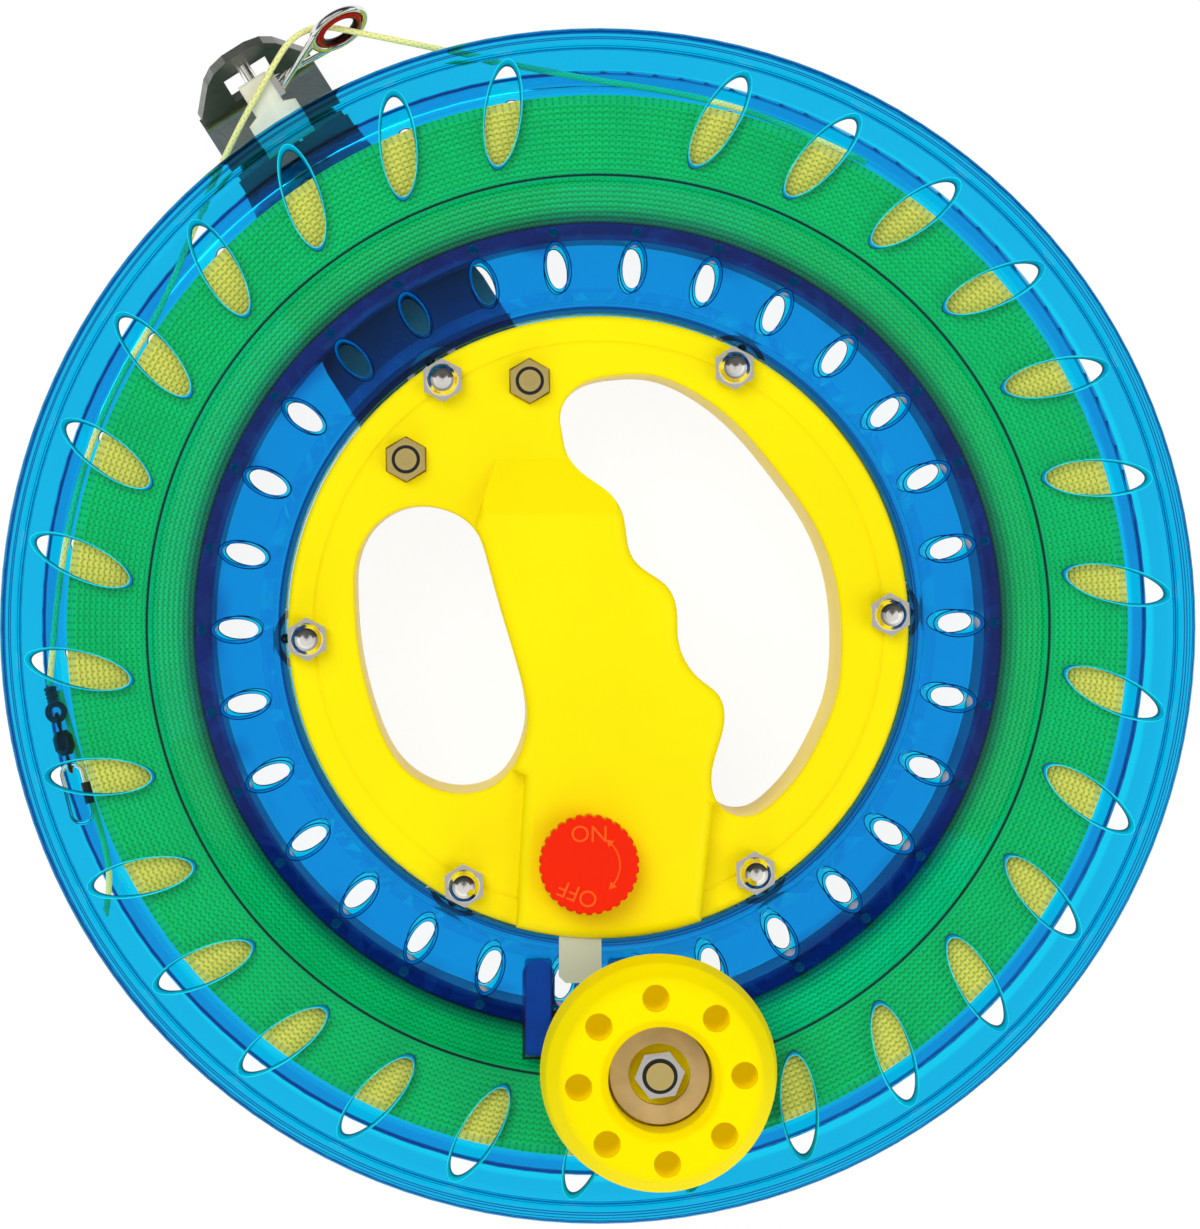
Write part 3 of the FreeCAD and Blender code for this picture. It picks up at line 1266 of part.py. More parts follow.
def lock_pinion():
    """The knob's spindle with a small pinion, one of whose teeth points at the rack."""
    owner = body("lock_pinion")
    low = hub_face - 1.0 - spindle_length
    top = grip_face + lock_knob_lift + lock_knob_height * 0.6
    spindle = sketch(owner, "spindle_plan", lift=low)
    circle(spindle, lock_x, lock_y, spindle_radius)
    pad(owner, spindle, "spindle", top - low)
    collar = sketch(owner, "collar_plan", lift=hub_face - 0.9)
    circle(collar, lock_x, lock_y, pitch_radius + 0.2)
    pad(owner, collar, "collar", tongue_z - hub_face + 0.9)
    count = round(gear_teeth.value)
    pitch_angle = Size.of(360.0) / gear_teeth
    root, tip = pitch_radius - gear_module * 1.2, pitch_radius + gear_module * 0.9
    half = pitch_angle * tooth_share / 2
    corners = []
    for index in range(count):
        middle = Size.of(180.0) + pitch_angle * index
        flank = [(root, half * 1.25), (pitch_radius, half), (tip, half * 0.45)]
        turns = [(radius, middle - part) for radius, part in flank]
        turns += [(radius, middle + part) for radius, part in reversed(flank)]
        for radius, angle in turns:
            x, y = polar(radius, angle)
            corners.append((lock_x + x, lock_y + y))
    teeth = sketch(owner, "teeth_plan", lift=tongue_z)
    polygon(teeth, corners)
    pad(owner, teeth, "teeth", tongue_height)


def lock_tongue():
    owner = body("lock_tongue")
    left = lock_tongue_x() - tongue_width / 2
    right = lock_tongue_x() + tongue_width / 2
    tip = -(hub_radius + tongue_reach)
    shoulder = -(hub_radius - tongue_root)
    pitch_line = lock_x - pitch_radius
    root = pitch_line - gear_module * 1.2
    crest = pitch_line + gear_module * 0.9
    slope = math.tan(math.radians(20.0))
    half = rack_pitch * tooth_share / 2
    inner_end = lock_y + rack_pitch * 2
    corners = [(left, inner_end), (left, tip + 1.2), (left + 1.2, tip), (right - 1.2, tip)]
    corners += [(right, tip + 1.2), (right, shoulder), (root, shoulder)]
    tooth_rows = int((inner_end.value - shoulder.value) / rack_pitch.value)
    for index in range(tooth_rows - 1, -1, -1):
        middle = lock_y + rack_pitch * (1.5 - index)
        if middle.value - half.value * 1.5 < shoulder.value:
            continue
        low_root = middle - half - gear_module * 1.2 * slope
        low_crest = middle - half + gear_module * 0.9 * slope
        high_crest = middle + half - gear_module * 0.9 * slope
        high_root = middle + half + gear_module * 1.2 * slope
        corners += [(root, low_root), (crest, low_crest), (crest, high_crest), (root, high_root)]
    corners.append((root, inner_end))
    plan = sketch(owner, "tongue_plan", lift=tongue_z)
    polygon(plan, corners)
    pad(owner, plan, "tongue", tongue_height)


# ----------------------------------------------------------------- the free line
TACKLE_ANGLE = 192.3
TACKLE_HEIGHT = 28.0
TACKLE_LEAN = -75.9


def round_spot(angle, radius, z):
    turn = math.radians(angle)
    return Vector(radius * math.cos(turn), radius * math.sin(turn), z)


EYE = Placement(Vector(), Rotation(Vector(0, 0, 1), arm_angle.value)).multVec(eye_place().Base)
LEAD_POINTS = [
    round_spot(60.0, 99.3, 29.0), round_spot(70.0, 99.5, 29.4), Vector(17.35, 98.4, 29.9),
    Vector(-7.2, 101.9, 30.9), Vector(-30.5, 106.8, 32.3), EYE,
]
TAIL_POINTS = [
    EYE, EYE + (EYE - LEAD_POINTS[-2]) * 0.4, Vector(-62.4, 99.3, 32.5), Vector(-68.7, 87.3, 32.2),
    Vector(-74.6, 73.4, 31.8), round_spot(144.2, 99.6, 31.2), round_spot(153.0, 99.8, 30.4),
    round_spot(162.0, 99.8, 29.5), round_spot(171.0, 99.9, 28.8), round_spot(179.0, 100.6, 28.3),
    Vector(-101.65, -10.9, 28.0),
]
END_POINTS = [
    Vector(-99.9, -11.9, 26.75), round_spot(191.0, 99.9, 25.0), round_spot(196.5, 99.6, 23.6),
    round_spot(202.0, 99.9, 23.2), round_spot(207.5, 102.0, 23.0), Vector(-91.8, -54.1, 22.6),
]


def rounded_route(points):
    """Straight runs through the points, joined by arcs that touch both runs."""
    edges = []
    start = points[0]
    for before, corner, after in zip(points, points[1:], points[2:]):
        back, ahead = before - corner, after - corner
        reach = 0.45 * min(back.Length, ahead.Length)
        back.normalize()
        ahead.normalize()
        arc_start, arc_end = corner + back * reach, corner + ahead * reach
        half_turn = (math.pi - back.getAngle(ahead)) / 2
        radius = reach / math.tan(half_turn)
        inwards = back + ahead
        inwards.normalize()
        centre = corner + inwards * (radius / math.cos(half_turn))
        edges.append(Part.makeLine(start, arc_start))
        edges.append(Part.Arc(arc_start, centre - inwards * radius, arc_end).toShape())
        start = arc_end
    edges.append(Part.makeLine(start, points[-1]))
    return Part.Wire(edges)


def cord(name, points):
    """A round line laid along its points."""
    route = doc.addObject("Part::Feature", name + "_route")
    route.Shape = rounded_route(points)
    along = points[1] - points[0]
    section = bound("Part::Circle", name + "_section", Radius=line_radius)
    section.Placement = Placement(points[0], Rotation(Vector(0, 0, 1), along))
    swept = doc.addObject("Part::Sweep", name)
    swept.Label = name
    swept.Sections = [section]
    swept.Spine = (route, [f"Edge{index + 1}" for index in range(len(route.Shape.Edges))])
    swept.Solid = True
    nodes.append(swept)
    return swept


def free_line():
    cord("free_line_lead", LEAD_POINTS)
    cord("free_line_tail", TAIL_POINTS)
    cord("free_line_end", END_POINTS)


# The tackle is drawn along its own x axis, from the knot towards the snap.
def tackle_place():
    return Placement(
        round_spot(TACKLE_ANGLE, 101.3, TACKLE_HEIGHT),
        Rotation(Vector(0, 0, 1), TACKLE_LEAN))


def tackle_ring(name, x, turn_radius, wire, upright_ring=False):
    ring = bound("Part::Torus", name, Radius1=turn_radius, Radius2=wire)
    turn = Rotation(Vector(1, 0, 0), 90.0) if upright_ring else Rotation()
    ring.Placement = Placement(Vector(x, 0, 0), turn)
    return ring


def set_down(thing):
    thing.Placement = tackle_place()
    return thing


KNOT_START = -10.8
KNOT_TURN = 0.8


def line_knot():
    """Three tight turns of line, drawn as a turned shape, and the loop that they hold."""
    waist = (knot_radius - 0.25).value
    outline = [Vector(0, 0, 0), Vector(0.6, 0, 0)]
    for index in range(4):
        low = index * KNOT_TURN
        outline += [Vector(waist, 0, low + 0.1), Vector(knot_radius.value, 0, low + KNOT_TURN / 2)]
    outline += [Vector(0.6, 0, 4 * KNOT_TURN + 0.1), Vector(0, 0, 4 * KNOT_TURN + 0.1)]
    section = doc.addObject("Part::Feature", "knot_section")
    section.Shape = Part.Face(Part.makePolygon(outline + outline[:1]))
    turns = doc.addObject("Part::Revolution", "knot_turns")
    turns.Source = section
    turns.Axis = Vector(0, 0, 1)
    turns.Angle = 360.0
    turns.Placement = Placement(Vector(KNOT_START, 0, 0), Rotation(Vector(0, 1, 0), 90.0))
    loop = tackle_ring("knot_loop", -5.9, 1.5, line_radius)
    set_down(joined("line_knot", [turns, loop]))


def swivel_barrel():
    owner = body("swivel_barrel")
    section = sketch(owner, "barrel_section", "XY_Plane")
    half = barrel_length / 2
    bore = swivel_wire + bolt_gap
    polygon(section, [
        (bore, -half), (barrel_radius * 0.6, -half), (barrel_radius, -half * 0.5),
        (barrel_radius, half * 0.5), (barrel_radius * 0.6, half), (bore, half),
    ])
    revolve(owner, section, "barrel")
    turned = Placement(Vector(), Rotation(Vector(0, 0, 1), 90.0))
    owner.Placement = tackle_place().multiply(turned)


def swivel_eyes():
    loops = []
    half = (barrel_length / 2).value
    for name, side in (("knot_eye", -1), ("snap_eye", 1)):
        loop = tackle_ring(name, side * (half + 2.0), 1.2, swivel_wire, upright_ring=True)
        stem_start, stem_end = Vector(side * 1.2, 0, 0), Vector(side * (half + 1.0), 0, 0)
        stem = strut(name + "_stem", stem_start, stem_end, swivel_wire * 0.8)
        loops.append(doc.addObject("Part::MultiFuse", name + "_joined"))
        loops[-1].Shapes = [loop, stem]
    both = doc.addObject("Part::Compound", "swivel_eyes")
    both.Label = "swivel_eyes"
    both.Links = loops
    nodes.append(set_down(both))


def swivel_snap():
    """A wire snap, whose two ends meet with a gap inside its clasp."""
    near, far, half = 4.3, 15.2, 2.0
    clasp_start, clasp_length, wire_gap = 8.0, 4.0, 0.6
    ends_meet = clasp_start + clasp_length / 2
    corners = [
        Vector(ends_meet - wire_gap / 2, half, 0), Vector(near, half, 0), Vector(near, -half, 0),
        Vector(far, -half, 0), Vector(far, half, 0), Vector(ends_meet + wire_gap / 2, half, 0),
    ]
    route = doc.addObject("Part::Feature", "snap_route")
    route.Shape = rounded_route(corners)
    section = bound("Part::Circle", "snap_section", Radius=swivel_wire)
    section.Placement = Placement(corners[0], Rotation(Vector(0, 0, 1), Vector(-1, 0, 0)))
    swept = doc.addObject("Part::Sweep", "swivel_snap")
    swept.Label = "swivel_snap"
    swept.Sections = [section]
    swept.Spine = (route, [f"Edge{index + 1}" for index in range(len(route.Shape.Edges))])
    swept.Solid = True
    nodes.append(set_down(swept))
    clasp_end = clasp_start + clasp_length
    clasp = tube("snap_clasp", swivel_wire + 0.03, swivel_wire + 0.5, clasp_start, clasp_end)
    along = Placement(Vector(0, half, 0), Rotation(Vector(0, 1, 0), 90.0))
    clasp.Placement = tackle_place().multiply(along)


# ----------------------------------------------------------------- build and write
MAKERS = [
    handle_back, handle_front, housing_bolts, dome_nuts, bearings, guide_arm, guide_arm_screws,
    guide_arm_nuts, guide_pivot_rod, guide_block, guide_eye, front_flange, back_flange, drum,
    bearing_rail, joining_pins, line_pack, crank_bolt, crank_sleeve, crank_nut, crank_knob,
    crank_washer, lock_knob, lock_pinion, lock_tongue, free_line, line_knot, swivel_barrel,
    swivel_eyes, swivel_snap,
]
for make in MAKERS:
    make()
doc.recompute()

failed = [thing.Name for thing in doc.Objects if {"Invalid", "Error"} & set(thing.State)]
if failed:
    raise RuntimeError(f"these objects failed: {failed}")
for node in nodes:
    if node.Shape.isNull() or not node.Shape.isValid() or not node.Shape.Solids:
        raise RuntimeError(f"{node.Label} has no sound shape")

os.makedirs("parts", exist_ok=True)
for node in nodes:
    node.Shape.exportStep(f"parts/{node.Label}.step")
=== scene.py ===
"""Kite line winder: finishes, wound line, free line, lettering and a plain studio.

Metres, in the frame of the solids: the reel lies on its back at z = 0 and the spool turns
about +Z. The solids stay as they are. Only the wound line and the free line, which are plain
in the solids, are made again here. The lettering, the edges of the ovals and slots and the
cores of the stop ribs are added to them.
"""

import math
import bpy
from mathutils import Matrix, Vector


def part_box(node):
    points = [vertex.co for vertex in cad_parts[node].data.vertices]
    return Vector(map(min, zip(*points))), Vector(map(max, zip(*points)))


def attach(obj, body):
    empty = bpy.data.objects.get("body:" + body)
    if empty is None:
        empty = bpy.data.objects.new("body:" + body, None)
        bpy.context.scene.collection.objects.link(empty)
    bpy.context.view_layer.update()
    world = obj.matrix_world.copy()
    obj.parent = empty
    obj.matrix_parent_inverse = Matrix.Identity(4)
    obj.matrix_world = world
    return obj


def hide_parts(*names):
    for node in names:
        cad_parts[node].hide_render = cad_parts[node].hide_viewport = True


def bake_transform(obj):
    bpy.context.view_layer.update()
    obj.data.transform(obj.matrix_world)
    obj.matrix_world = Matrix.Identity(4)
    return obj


bl_info = {
    "name": "Kite line winder",
    "version": (1, 0, 0),
    "blender": (4, 5, 0),
    "location": "3D View > Sidebar > Winder",
    "description": "Dresses a kite line winder: finishes, line, lettering and studio",
    "category": "Object",
}

import bpy
from bpy.props import FloatProperty, FloatVectorProperty, IntProperty, PointerProperty
from mathutils import Matrix, Vector

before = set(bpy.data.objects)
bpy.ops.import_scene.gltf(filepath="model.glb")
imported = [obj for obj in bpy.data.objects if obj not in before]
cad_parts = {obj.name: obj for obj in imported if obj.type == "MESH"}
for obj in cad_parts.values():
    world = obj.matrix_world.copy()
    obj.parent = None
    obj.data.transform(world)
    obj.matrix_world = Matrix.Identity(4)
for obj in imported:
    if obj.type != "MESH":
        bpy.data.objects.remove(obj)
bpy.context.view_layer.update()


# ----------------------------------------------------------------- places from the frame
def far_side(node):
    return max(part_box(node)[1].x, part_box(node)[1].y)


def middle(node):
    return (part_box(node)[0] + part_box(node)[1]) / 2


PACK_LOW, PACK_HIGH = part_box("line_pack")
PACK_RADIUS = PACK_HIGH.x
DRUM_RADIUS = far_side("drum")
LOCK_FACE = Vector((*middle("lock_knob").xy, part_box("lock_knob")[1].z))
CRANK_CENTRE = middle("crank_knob")
CRANK_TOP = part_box("crank_knob")[1].z

# ----------------------------------------------------------------- places on the solids
# Heights of the faces that the ovals (side) and the slots (band) open in.
WHEEL_MIDDLE = (PACK_LOW.z + PACK_HIGH.z) / 2
SIDE_HALF = 0.016
BAND_HALF = 0.012
SIDE_FRONT = WHEEL_MIDDLE + SIDE_HALF
SIDE_BACK = WHEEL_MIDDLE - SIDE_HALF
BAND_FRONT = WHEEL_MIDDLE + BAND_HALF
BAND_BACK = WHEEL_MIDDLE - BAND_HALF

# Radii at which the tint of the clear plastic changes, from the hub outwards. The two shade radii
# bound a band of painted navy shade over the drum and the dish's curved foot.
LIP_EDGE = 0.0591
BAND_EDGE = 0.0716
DISH_SHADE_START = 0.0724
DISH_SHADE_END = 0.0762
CREASE = 0.0832
PACK_EDGE = PACK_RADIUS + 0.0004
RIM_EDGE = 0.1024

# Where the drum shows through the front side: the radii of a blotchy ring of painted shade,
# which stands for the shade of the drum's curve and pins.
DRUM_SHADE_START = 0.0675
DRUM_SHADE_FULL = 0.072
DRUM_SHADE_END = 0.073

# Radius and half width of the dark lines of painted shade at the grooves in the rim.
FRONT_SHADE_LINES = ((0.1064, 0.0002), (0.1083, 0.00016), (0.1093, 0.00012))
BACK_SHADE_LINES = ((0.1044, 0.0002),)

# Ovals lie all round the sides but for the place of the crank, and slots all round the band.
# Angles are in degrees.
ROW_STEP = 360.0 / 30
OVAL_ROW = {"start": 100.6, "lean": -17.0, "count": 29}
SLOT_ROW = {"start": 84.5, "lean": 0.0, "count": 30}
OVAL_SIZE = (0.0198, 0.0068)
SLOT_SIZE = (0.0086, 0.0044)
SLOT_LIP_SIZE = (0.0095, 0.005)
FRONT_OVAL_RADIUS = 0.0962
BACK_OVAL_RADIUS = 0.0912
SLOT_RADIUS = 0.0671
SLOT_LIP_RADIUS = 0.0668

# Lowest and highest corner of the two ribs that the lock's tongue stands between.
STOP_RIBS = (
    ((-0.0143, -0.0798, 0.0323), (-0.0081, -0.0604, 0.04)),
    ((0.0011, -0.0798, 0.0323), (0.0073, -0.0604, 0.04)),
)

# Radii between which the crank knob has its holes, and over which the eye's liner turns red.
KNOB_HOLES = (0.0123, 0.0175)
LINER_TURN = (0.0036, 0.0041)

# Height at which the arm's flat strip ends and its bracket begins.
STRIP_TOP = 0.0024


# ----------------------------------------------------------------- settings
def colour(name, text, value):
    return FloatVectorProperty(
        name=name, description=text, subtype="COLOR", size=3, min=0, max=1, default=value)


class WinderFinishes(bpy.types.PropertyGroup):
    clear_rim: colour("Clear rim", "What one wall of the spool's rim lets through", (0.003, 0.48, 0.8))
    clear_edge: colour("Clear edge", "The same beside the wound line", (0.003, 0.63, 0.9))
    clear_side: colour("Clear side", "The same over the wound line", (0.004, 0.74, 0.94))
    clear_band: colour("Clear band", "The same round the hub", (0.002, 0.55, 0.88))
    clear_drum: colour("Clear drum", "The drum, seen from its end", (0.0, 0.11, 0.4))
    yellow: colour("Hub", "Yellow of the hub", (0.99, 0.82, 0.0))
    knob: colour("Crank knob", "Yellow of the crank knob", (0.99, 0.8, 0.0))
    red: colour("Lock knob", "Red of the lock knob", (0.88, 0.018, 0.0))
    cream: colour("Nylon", "Cream nylon of the guide block", (0.86, 0.83, 0.66))
    steel: colour("Steel", "Steel of the bracket", (0.2, 0.21, 0.19))
    line: colour("Wound line", "Yellow of the wound line", (0.66, 0.67, 0.1))
    free_line: colour("Free line", "Pale yellow of the free line", (0.8, 0.8, 0.3))


class WinderSizes(bpy.types.PropertyGroup):
    line_width: FloatProperty(
        name="Line", description="Diameter of the line", subtype="DISTANCE", default=0.00116)
    coil_pitch: FloatProperty(
        name="Coils", description="Distance between turns of line", subtype="DISTANCE",
        default=0.00106)
    coil_steps: IntProperty(
        name="Coil steps", description="Straight steps in one turn of line", default=150, min=48)
    letter_height: FloatProperty(
        name="Letters", description="Height of the lock knob's letters", subtype="DISTANCE",
        default=0.0032)
    lens: FloatProperty(name="Lens", description="Camera lens", subtype="DISTANCE_CAMERA", default=151.2)


def finishes():
    return bpy.context.scene.winder_finishes


def sizes():
    return bpy.context.scene.winder_sizes


# ----------------------------------------------------------------- modelling by hand
def deselect():
    if bpy.context.mode != "OBJECT":
        bpy.ops.object.mode_set(mode="OBJECT")
    bpy.ops.object.select_all(action="DESELECT")


def pick(*pieces):
    """Select these pieces alone; the last one is active."""
    deselect()
    for piece in pieces:
        piece.select_set(True)
        bpy.context.view_layer.objects.active = piece
    return pieces[-1]


def added(name):
    """The object that the last operator has made, under its own name."""
    piece = bpy.context.object
    piece.name = name
    piece.data.name = name
    return piece


def join(name, pieces):
    pick(*pieces)
    bpy.ops.object.join()
    return added(name)


def as_mesh(piece):
    pick(piece)
    bpy.ops.object.convert(target="MESH")
    return bpy.context.object


def settle(piece):
    """Put the piece's place into its mesh."""
    pick(piece)
    bpy.ops.object.transform_apply(location=True, rotation=True, scale=True)
    return piece


def wear(piece, material):
    """Give a new piece its finish and the slot that the finish stands for."""
    piece.data.materials.clear()
    piece.data.materials.append(material)
    return piece


def smooth(piece, angle=40.0):
    pick(piece)
    bpy.ops.object.shade_smooth_by_angle(angle=math.radians(angle))
    return piece


# ----------------------------------------------------------------- shader nodes
class Value:
    """A number in a node tree, on which sums can be written."""

    def __init__(self, nodes, socket):
        self.nodes = nodes
        self.socket = socket

    def sum(self, operation, *others):
        node = self.nodes.node("ShaderNodeMath", operation=operation)
        for index, other in enumerate((self,) + others):
            self.nodes.feed(node.inputs[index], other)
        return Value(self.nodes, node.outputs[0])

    def __add__(self, other):
        return self.sum("ADD", other)

    __radd__ = __add__

    def __mul__(self, other):
        return self.sum("MULTIPLY", other)

    __rmul__ = __mul__

    def __sub__(self, other):
        return self.sum("SUBTRACT", other)

    def __rsub__(self, other):
        return (self * -1.0).sum("ADD", other)

    def sine(self):
        return self.sum("SINE")

    def size(self):
        return self.sum("ABSOLUTE")

    def root(self):
        return self.sum("SQRT")

    def top(self, other):
        return self.sum("MAXIMUM", other)

    def between(self, low, high):
        """0 at the low end and 1 at the high end, and no further."""
        node = self.nodes.node("ShaderNodeMapRange", clamp=True)
        self.nodes.feed(node.inputs["Value"], self)
        node.inputs["From Min"].default_value = low
        node.inputs["From Max"].default_value = high
        return Value(self.nodes, node.outputs[0])


class Nodes:
    """A node tree, to which nodes are added as they are needed."""

    def __init__(self, tree):
        self.tree = tree

    def node(self, kind, stops=(), **settings):
        """One node with its settings; stops are a ramp's places, each with its brightness."""
        made = self.tree.nodes.new(kind)
        for name, setting in settings.items():
            setattr(made, name, setting)
        if stops:
            ramp = made.color_ramp.elements
            for end, (place, bright) in zip((ramp[0], ramp[1]), (stops[0], stops[-1])):
                end.position = place
                end.color = (bright, bright, bright, 1.0)
            for place, bright in stops[1:-1]:
                ramp.new(place).color = (bright, bright, bright, 1.0)
        return made

    def feed(self, socket, source):
        if isinstance(source, Value):
            source = source.socket
        if isinstance(source, bpy.types.NodeSocket):
            self.tree.links.new(source, socket)
        elif isinstance(source, (tuple, list)) or hasattr(source, "r"):
            values = list(source)
            length = len(socket.default_value)
            socket.default_value = (values + [1.0])[:length]
        else:
            socket.default_value = source

    def filled(self, kind, settings=None, **inputs):
        """A node with its settings made first and its sockets fed by name."""
        made = self.node(kind, **(settings or {}))
        for name, source in inputs.items():
            self.feed(made.inputs[name.replace("_", " ")], source)
        return made

    def parts(self, vector):
        """The vector's x, y and z."""
        split = self.filled("ShaderNodeSeparateXYZ", Vector=vector)
        return [Value(self, split.outputs[name]) for name in "XYZ"]

    def ray(self, kind):
        """1 for a ray of this kind and 0 for any other."""
        return Value(self, self.node("ShaderNodeLightPath").outputs[kind])

    def noise(self, vector, scale, detail=2.0, stretch=None):
        if stretch is not None:
            vector = self.filled("ShaderNodeMapping", Vector=vector, Scale=stretch).outputs[0]
        made = self.filled("ShaderNodeTexNoise", Vector=vector, Scale=scale, Detail=detail)
        return Value(self, made.outputs["Fac"])

    def blend(self, factor, first, second, way="MIX", most=1.0):
        """Two colours mixed the way named, by a factor that goes no further than most."""
        made = self.node("ShaderNodeMix", data_type="RGBA", blend_type=way)
        self.feed(made.inputs["Factor"], factor * most if most < 1.0 else factor)
        self.feed(made.inputs[6], first)
        self.feed(made.inputs[7], second)
        return made.outputs[2]

    def bump(self, height, distance):
        return self.filled("ShaderNodeBump", Height=height, Strength=1.0, Distance=distance).outputs[0]

    def mixed(self, factor, first, second):
        """Two shaders mixed."""
        made = self.node("ShaderNodeMixShader")
        for socket, source in zip(made.inputs, (factor, first.outputs[0], second.outputs[0])):
            self.feed(socket, source)
        return made


class Finish(Nodes):
    """One material and its nodes."""

    def __init__(self, name):
        self.material = bpy.data.materials.new(name)
        self.material.use_nodes = True
        super().__init__(self.material.node_tree)
        self.tree.nodes.clear()
        self.output = self.node("ShaderNodeOutputMaterial")

    def place(self):
        """Where the point lies on the object, in metres."""
        return self.node("ShaderNodeTexCoord").outputs["Object"]

    def principled(self, **inputs):
        return self.filled("ShaderNodeBsdfPrincipled", **inputs)

    def show(self, shader):
        self.feed(self.output.inputs["Surface"], shader.outputs[0])
        return self.material


def shade(tint, amount):
    return tuple(max(0.0, min(1.0, part * amount)) for part in tint)


def moulded(name, tint, roughness=0.34, grain=0.00004, gloss=0.12, holes=None):
    """Moulded plastic: a fine grain, faint flow marks and a soft gloss.

    holes tells of a ring of holes whose walls get a painted glow, an emission that stands in for
    the light that comes into them through the plastic: its centre, the two radii that it lies
    between, the height of its mouths and the tint of that glow.
    """
    finish = Finish(name)
    place = finish.place()
    flow = finish.noise(place, 28.0, 3.0)
    fine = finish.noise(place, 1900.0)
    wide = finish.noise(place, 150.0)
    lit = (0.0, 0.0, 0.0)
    # Painted light: the walls of the holes glow, more so further down.
    if holes is not None:
        centre, (near, far), mouth, glow = holes
        x, y, z = finish.parts(place)
        off_x, off_y = x - centre.x, y - centre.y
        away = (off_x * off_x + off_y * off_y).root()
        painted_glow_ring = away.between(near, near + 0.0001) * (far - away).between(0.0, 0.0001)
        depth = (mouth - z).between(0.001, 0.004)
        lit = finish.blend(painted_glow_ring * depth, lit, glow)
    return finish.show(finish.principled(
        Base_Color=finish.blend(flow.between(0.3, 0.7), shade(tint, 0.955), shade(tint, 1.02)),
        Roughness=wide * 0.12 + (roughness - 0.06) + fine * 0.05,
        IOR=1.48, Specular_IOR_Level=gloss, Normal=finish.bump(fine * 0.6 + wide * 1.4, grain),
        Emission_Color=lit, Emission_Strength=0.0 if holes is None else 1.0))


def clear_plastic(name, tint, zones, shade_lines, blocks=(), drum_shade=False):
    """Clear tinted plastic. Lamps shine through it, so what it covers stays bright.

    zones lists radii from the spool's axis, how softly each starts and the tint from there
    outwards. The next list gives the radii and half widths of dark lines of painted shade, at
    grooves, edges and creases. The boxes after it, as lowest and highest corner, are thick plastic
    tinted deeper blue inside a near black rim of painted shade where their walls are. The last,
    when true, paints a blotchy ring of shade where the drum shows.
    """
    finish = Finish(name)
    place = finish.place()
    x, y, z = finish.parts(place)
    radius = (x * x + y * y).root()
    ripple = finish.noise(place, 90.0)
    swirl = finish.noise(place, 30.0)
    scuffs = finish.noise(place, 700.0, stretch=(1.0, 0.15, 1.0)).between(0.62, 0.78)
    tone = tint
    for start, soft, zone in zones:
        tone = finish.blend(radius.between(start - soft, start + soft), tone, zone)
    tone = finish.blend(swirl.between(0.3, 0.7), tone, (0.0, 0.62, 0.94), "MULTIPLY", 0.12)
    # Dark lines of painted shade at grooves, edges and the crease.
    for middle_radius, half_width in shade_lines:
        clear = (radius - middle_radius).size().between(half_width * 0.4, half_width)
        tone = finish.blend(clear, (0.0, 0.03, 0.2), tone)
    # Each stop rib: a near black rim of painted shade where its walls are, round a deeper blue for its
    # thick plastic.
    for low, high in blocks:
        for edge, dark in ((0.0, (0.0, 0.01, 0.1)), (0.0006, (0.0, 0.3, 0.7))):
            inside = z.between(low[2], low[2] + 0.0002)
            for axis, start, end in zip((x, y), low, high):
                inside = inside * axis.between(start + edge, start + edge + 0.0002)
                inside = inside * (end - axis).between(edge, edge + 0.0002)
            tone = finish.blend(inside, tone, dark)
    # A blotchy ring of painted shade where the drum shows through.
    if drum_shade:
        cloud = finish.noise(place, 75.0, 1.0).between(0.5, 0.66)
        ring = radius.between(DRUM_SHADE_START, DRUM_SHADE_FULL) * (DRUM_SHADE_END - radius).between(0.0, 0.0008)
        tone = finish.blend(cloud * ring, tone, (0.0, 0.16, 0.5))
    glass = finish.principled(
        Base_Color=tone, Roughness=scuffs * 0.04 + 0.015, Transmission_Weight=1.0, IOR=1.3,
        Normal=finish.bump(ripple, 0.00006))
    film = finish.filled("ShaderNodeBsdfTransparent", Color=(0.82, 0.98, 1.0))
    return finish.show(finish.mixed(finish.ray("Is Shadow Ray"), glass, film))


def tinted_film(name, tint, cover, ior=1.45, foot=None):
    """A clear wall that is seen from its end: it covers what is behind it as far as given.

    A low ior keeps a wall that is seen edge on from turning white. foot gives the two heights
    between which it is painted darker downwards, as shade deep in the opening.
    """
    finish = Finish(name)
    place = finish.place()
    cloud = finish.noise(place, 120.0, 3.0)
    tone = finish.blend(cloud.between(0.3, 0.7), shade(tint, 0.8), shade(tint, 1.15))
    # Painted shade: darker towards the foot of the wall.
    if foot is not None:
        tone = finish.blend(finish.parts(place)[2].between(*foot), shade(tint, 0.12), tone)
    return finish.show(finish.principled(
        Base_Color=tone, Roughness=cloud * 0.1 + 0.2, Alpha=cover, Specular_IOR_Level=0.15, IOR=ior,
        Normal=finish.bump(cloud, 0.00002)))


def dark_inside(name, tint, centre, start, end):
    """Glossy plastic of a ring, which is dark on the side that faces its own centre."""
    finish = Finish(name)
    place = finish.place()
    fine = finish.noise(place, 1500.0)
    off_x, off_y, off_z = [part - spot for part, spot in zip(finish.parts(place), centre)]
    away = (off_x * off_x + off_y * off_y + off_z * off_z).root()
    return finish.show(finish.principled(
        Base_Color=finish.blend(away.between(start, end), shade(tint, 0.03), tint),
        Roughness=fine * 0.06 + 0.2, Specular_IOR_Level=0.15, Normal=finish.bump(fine, 0.00001)))


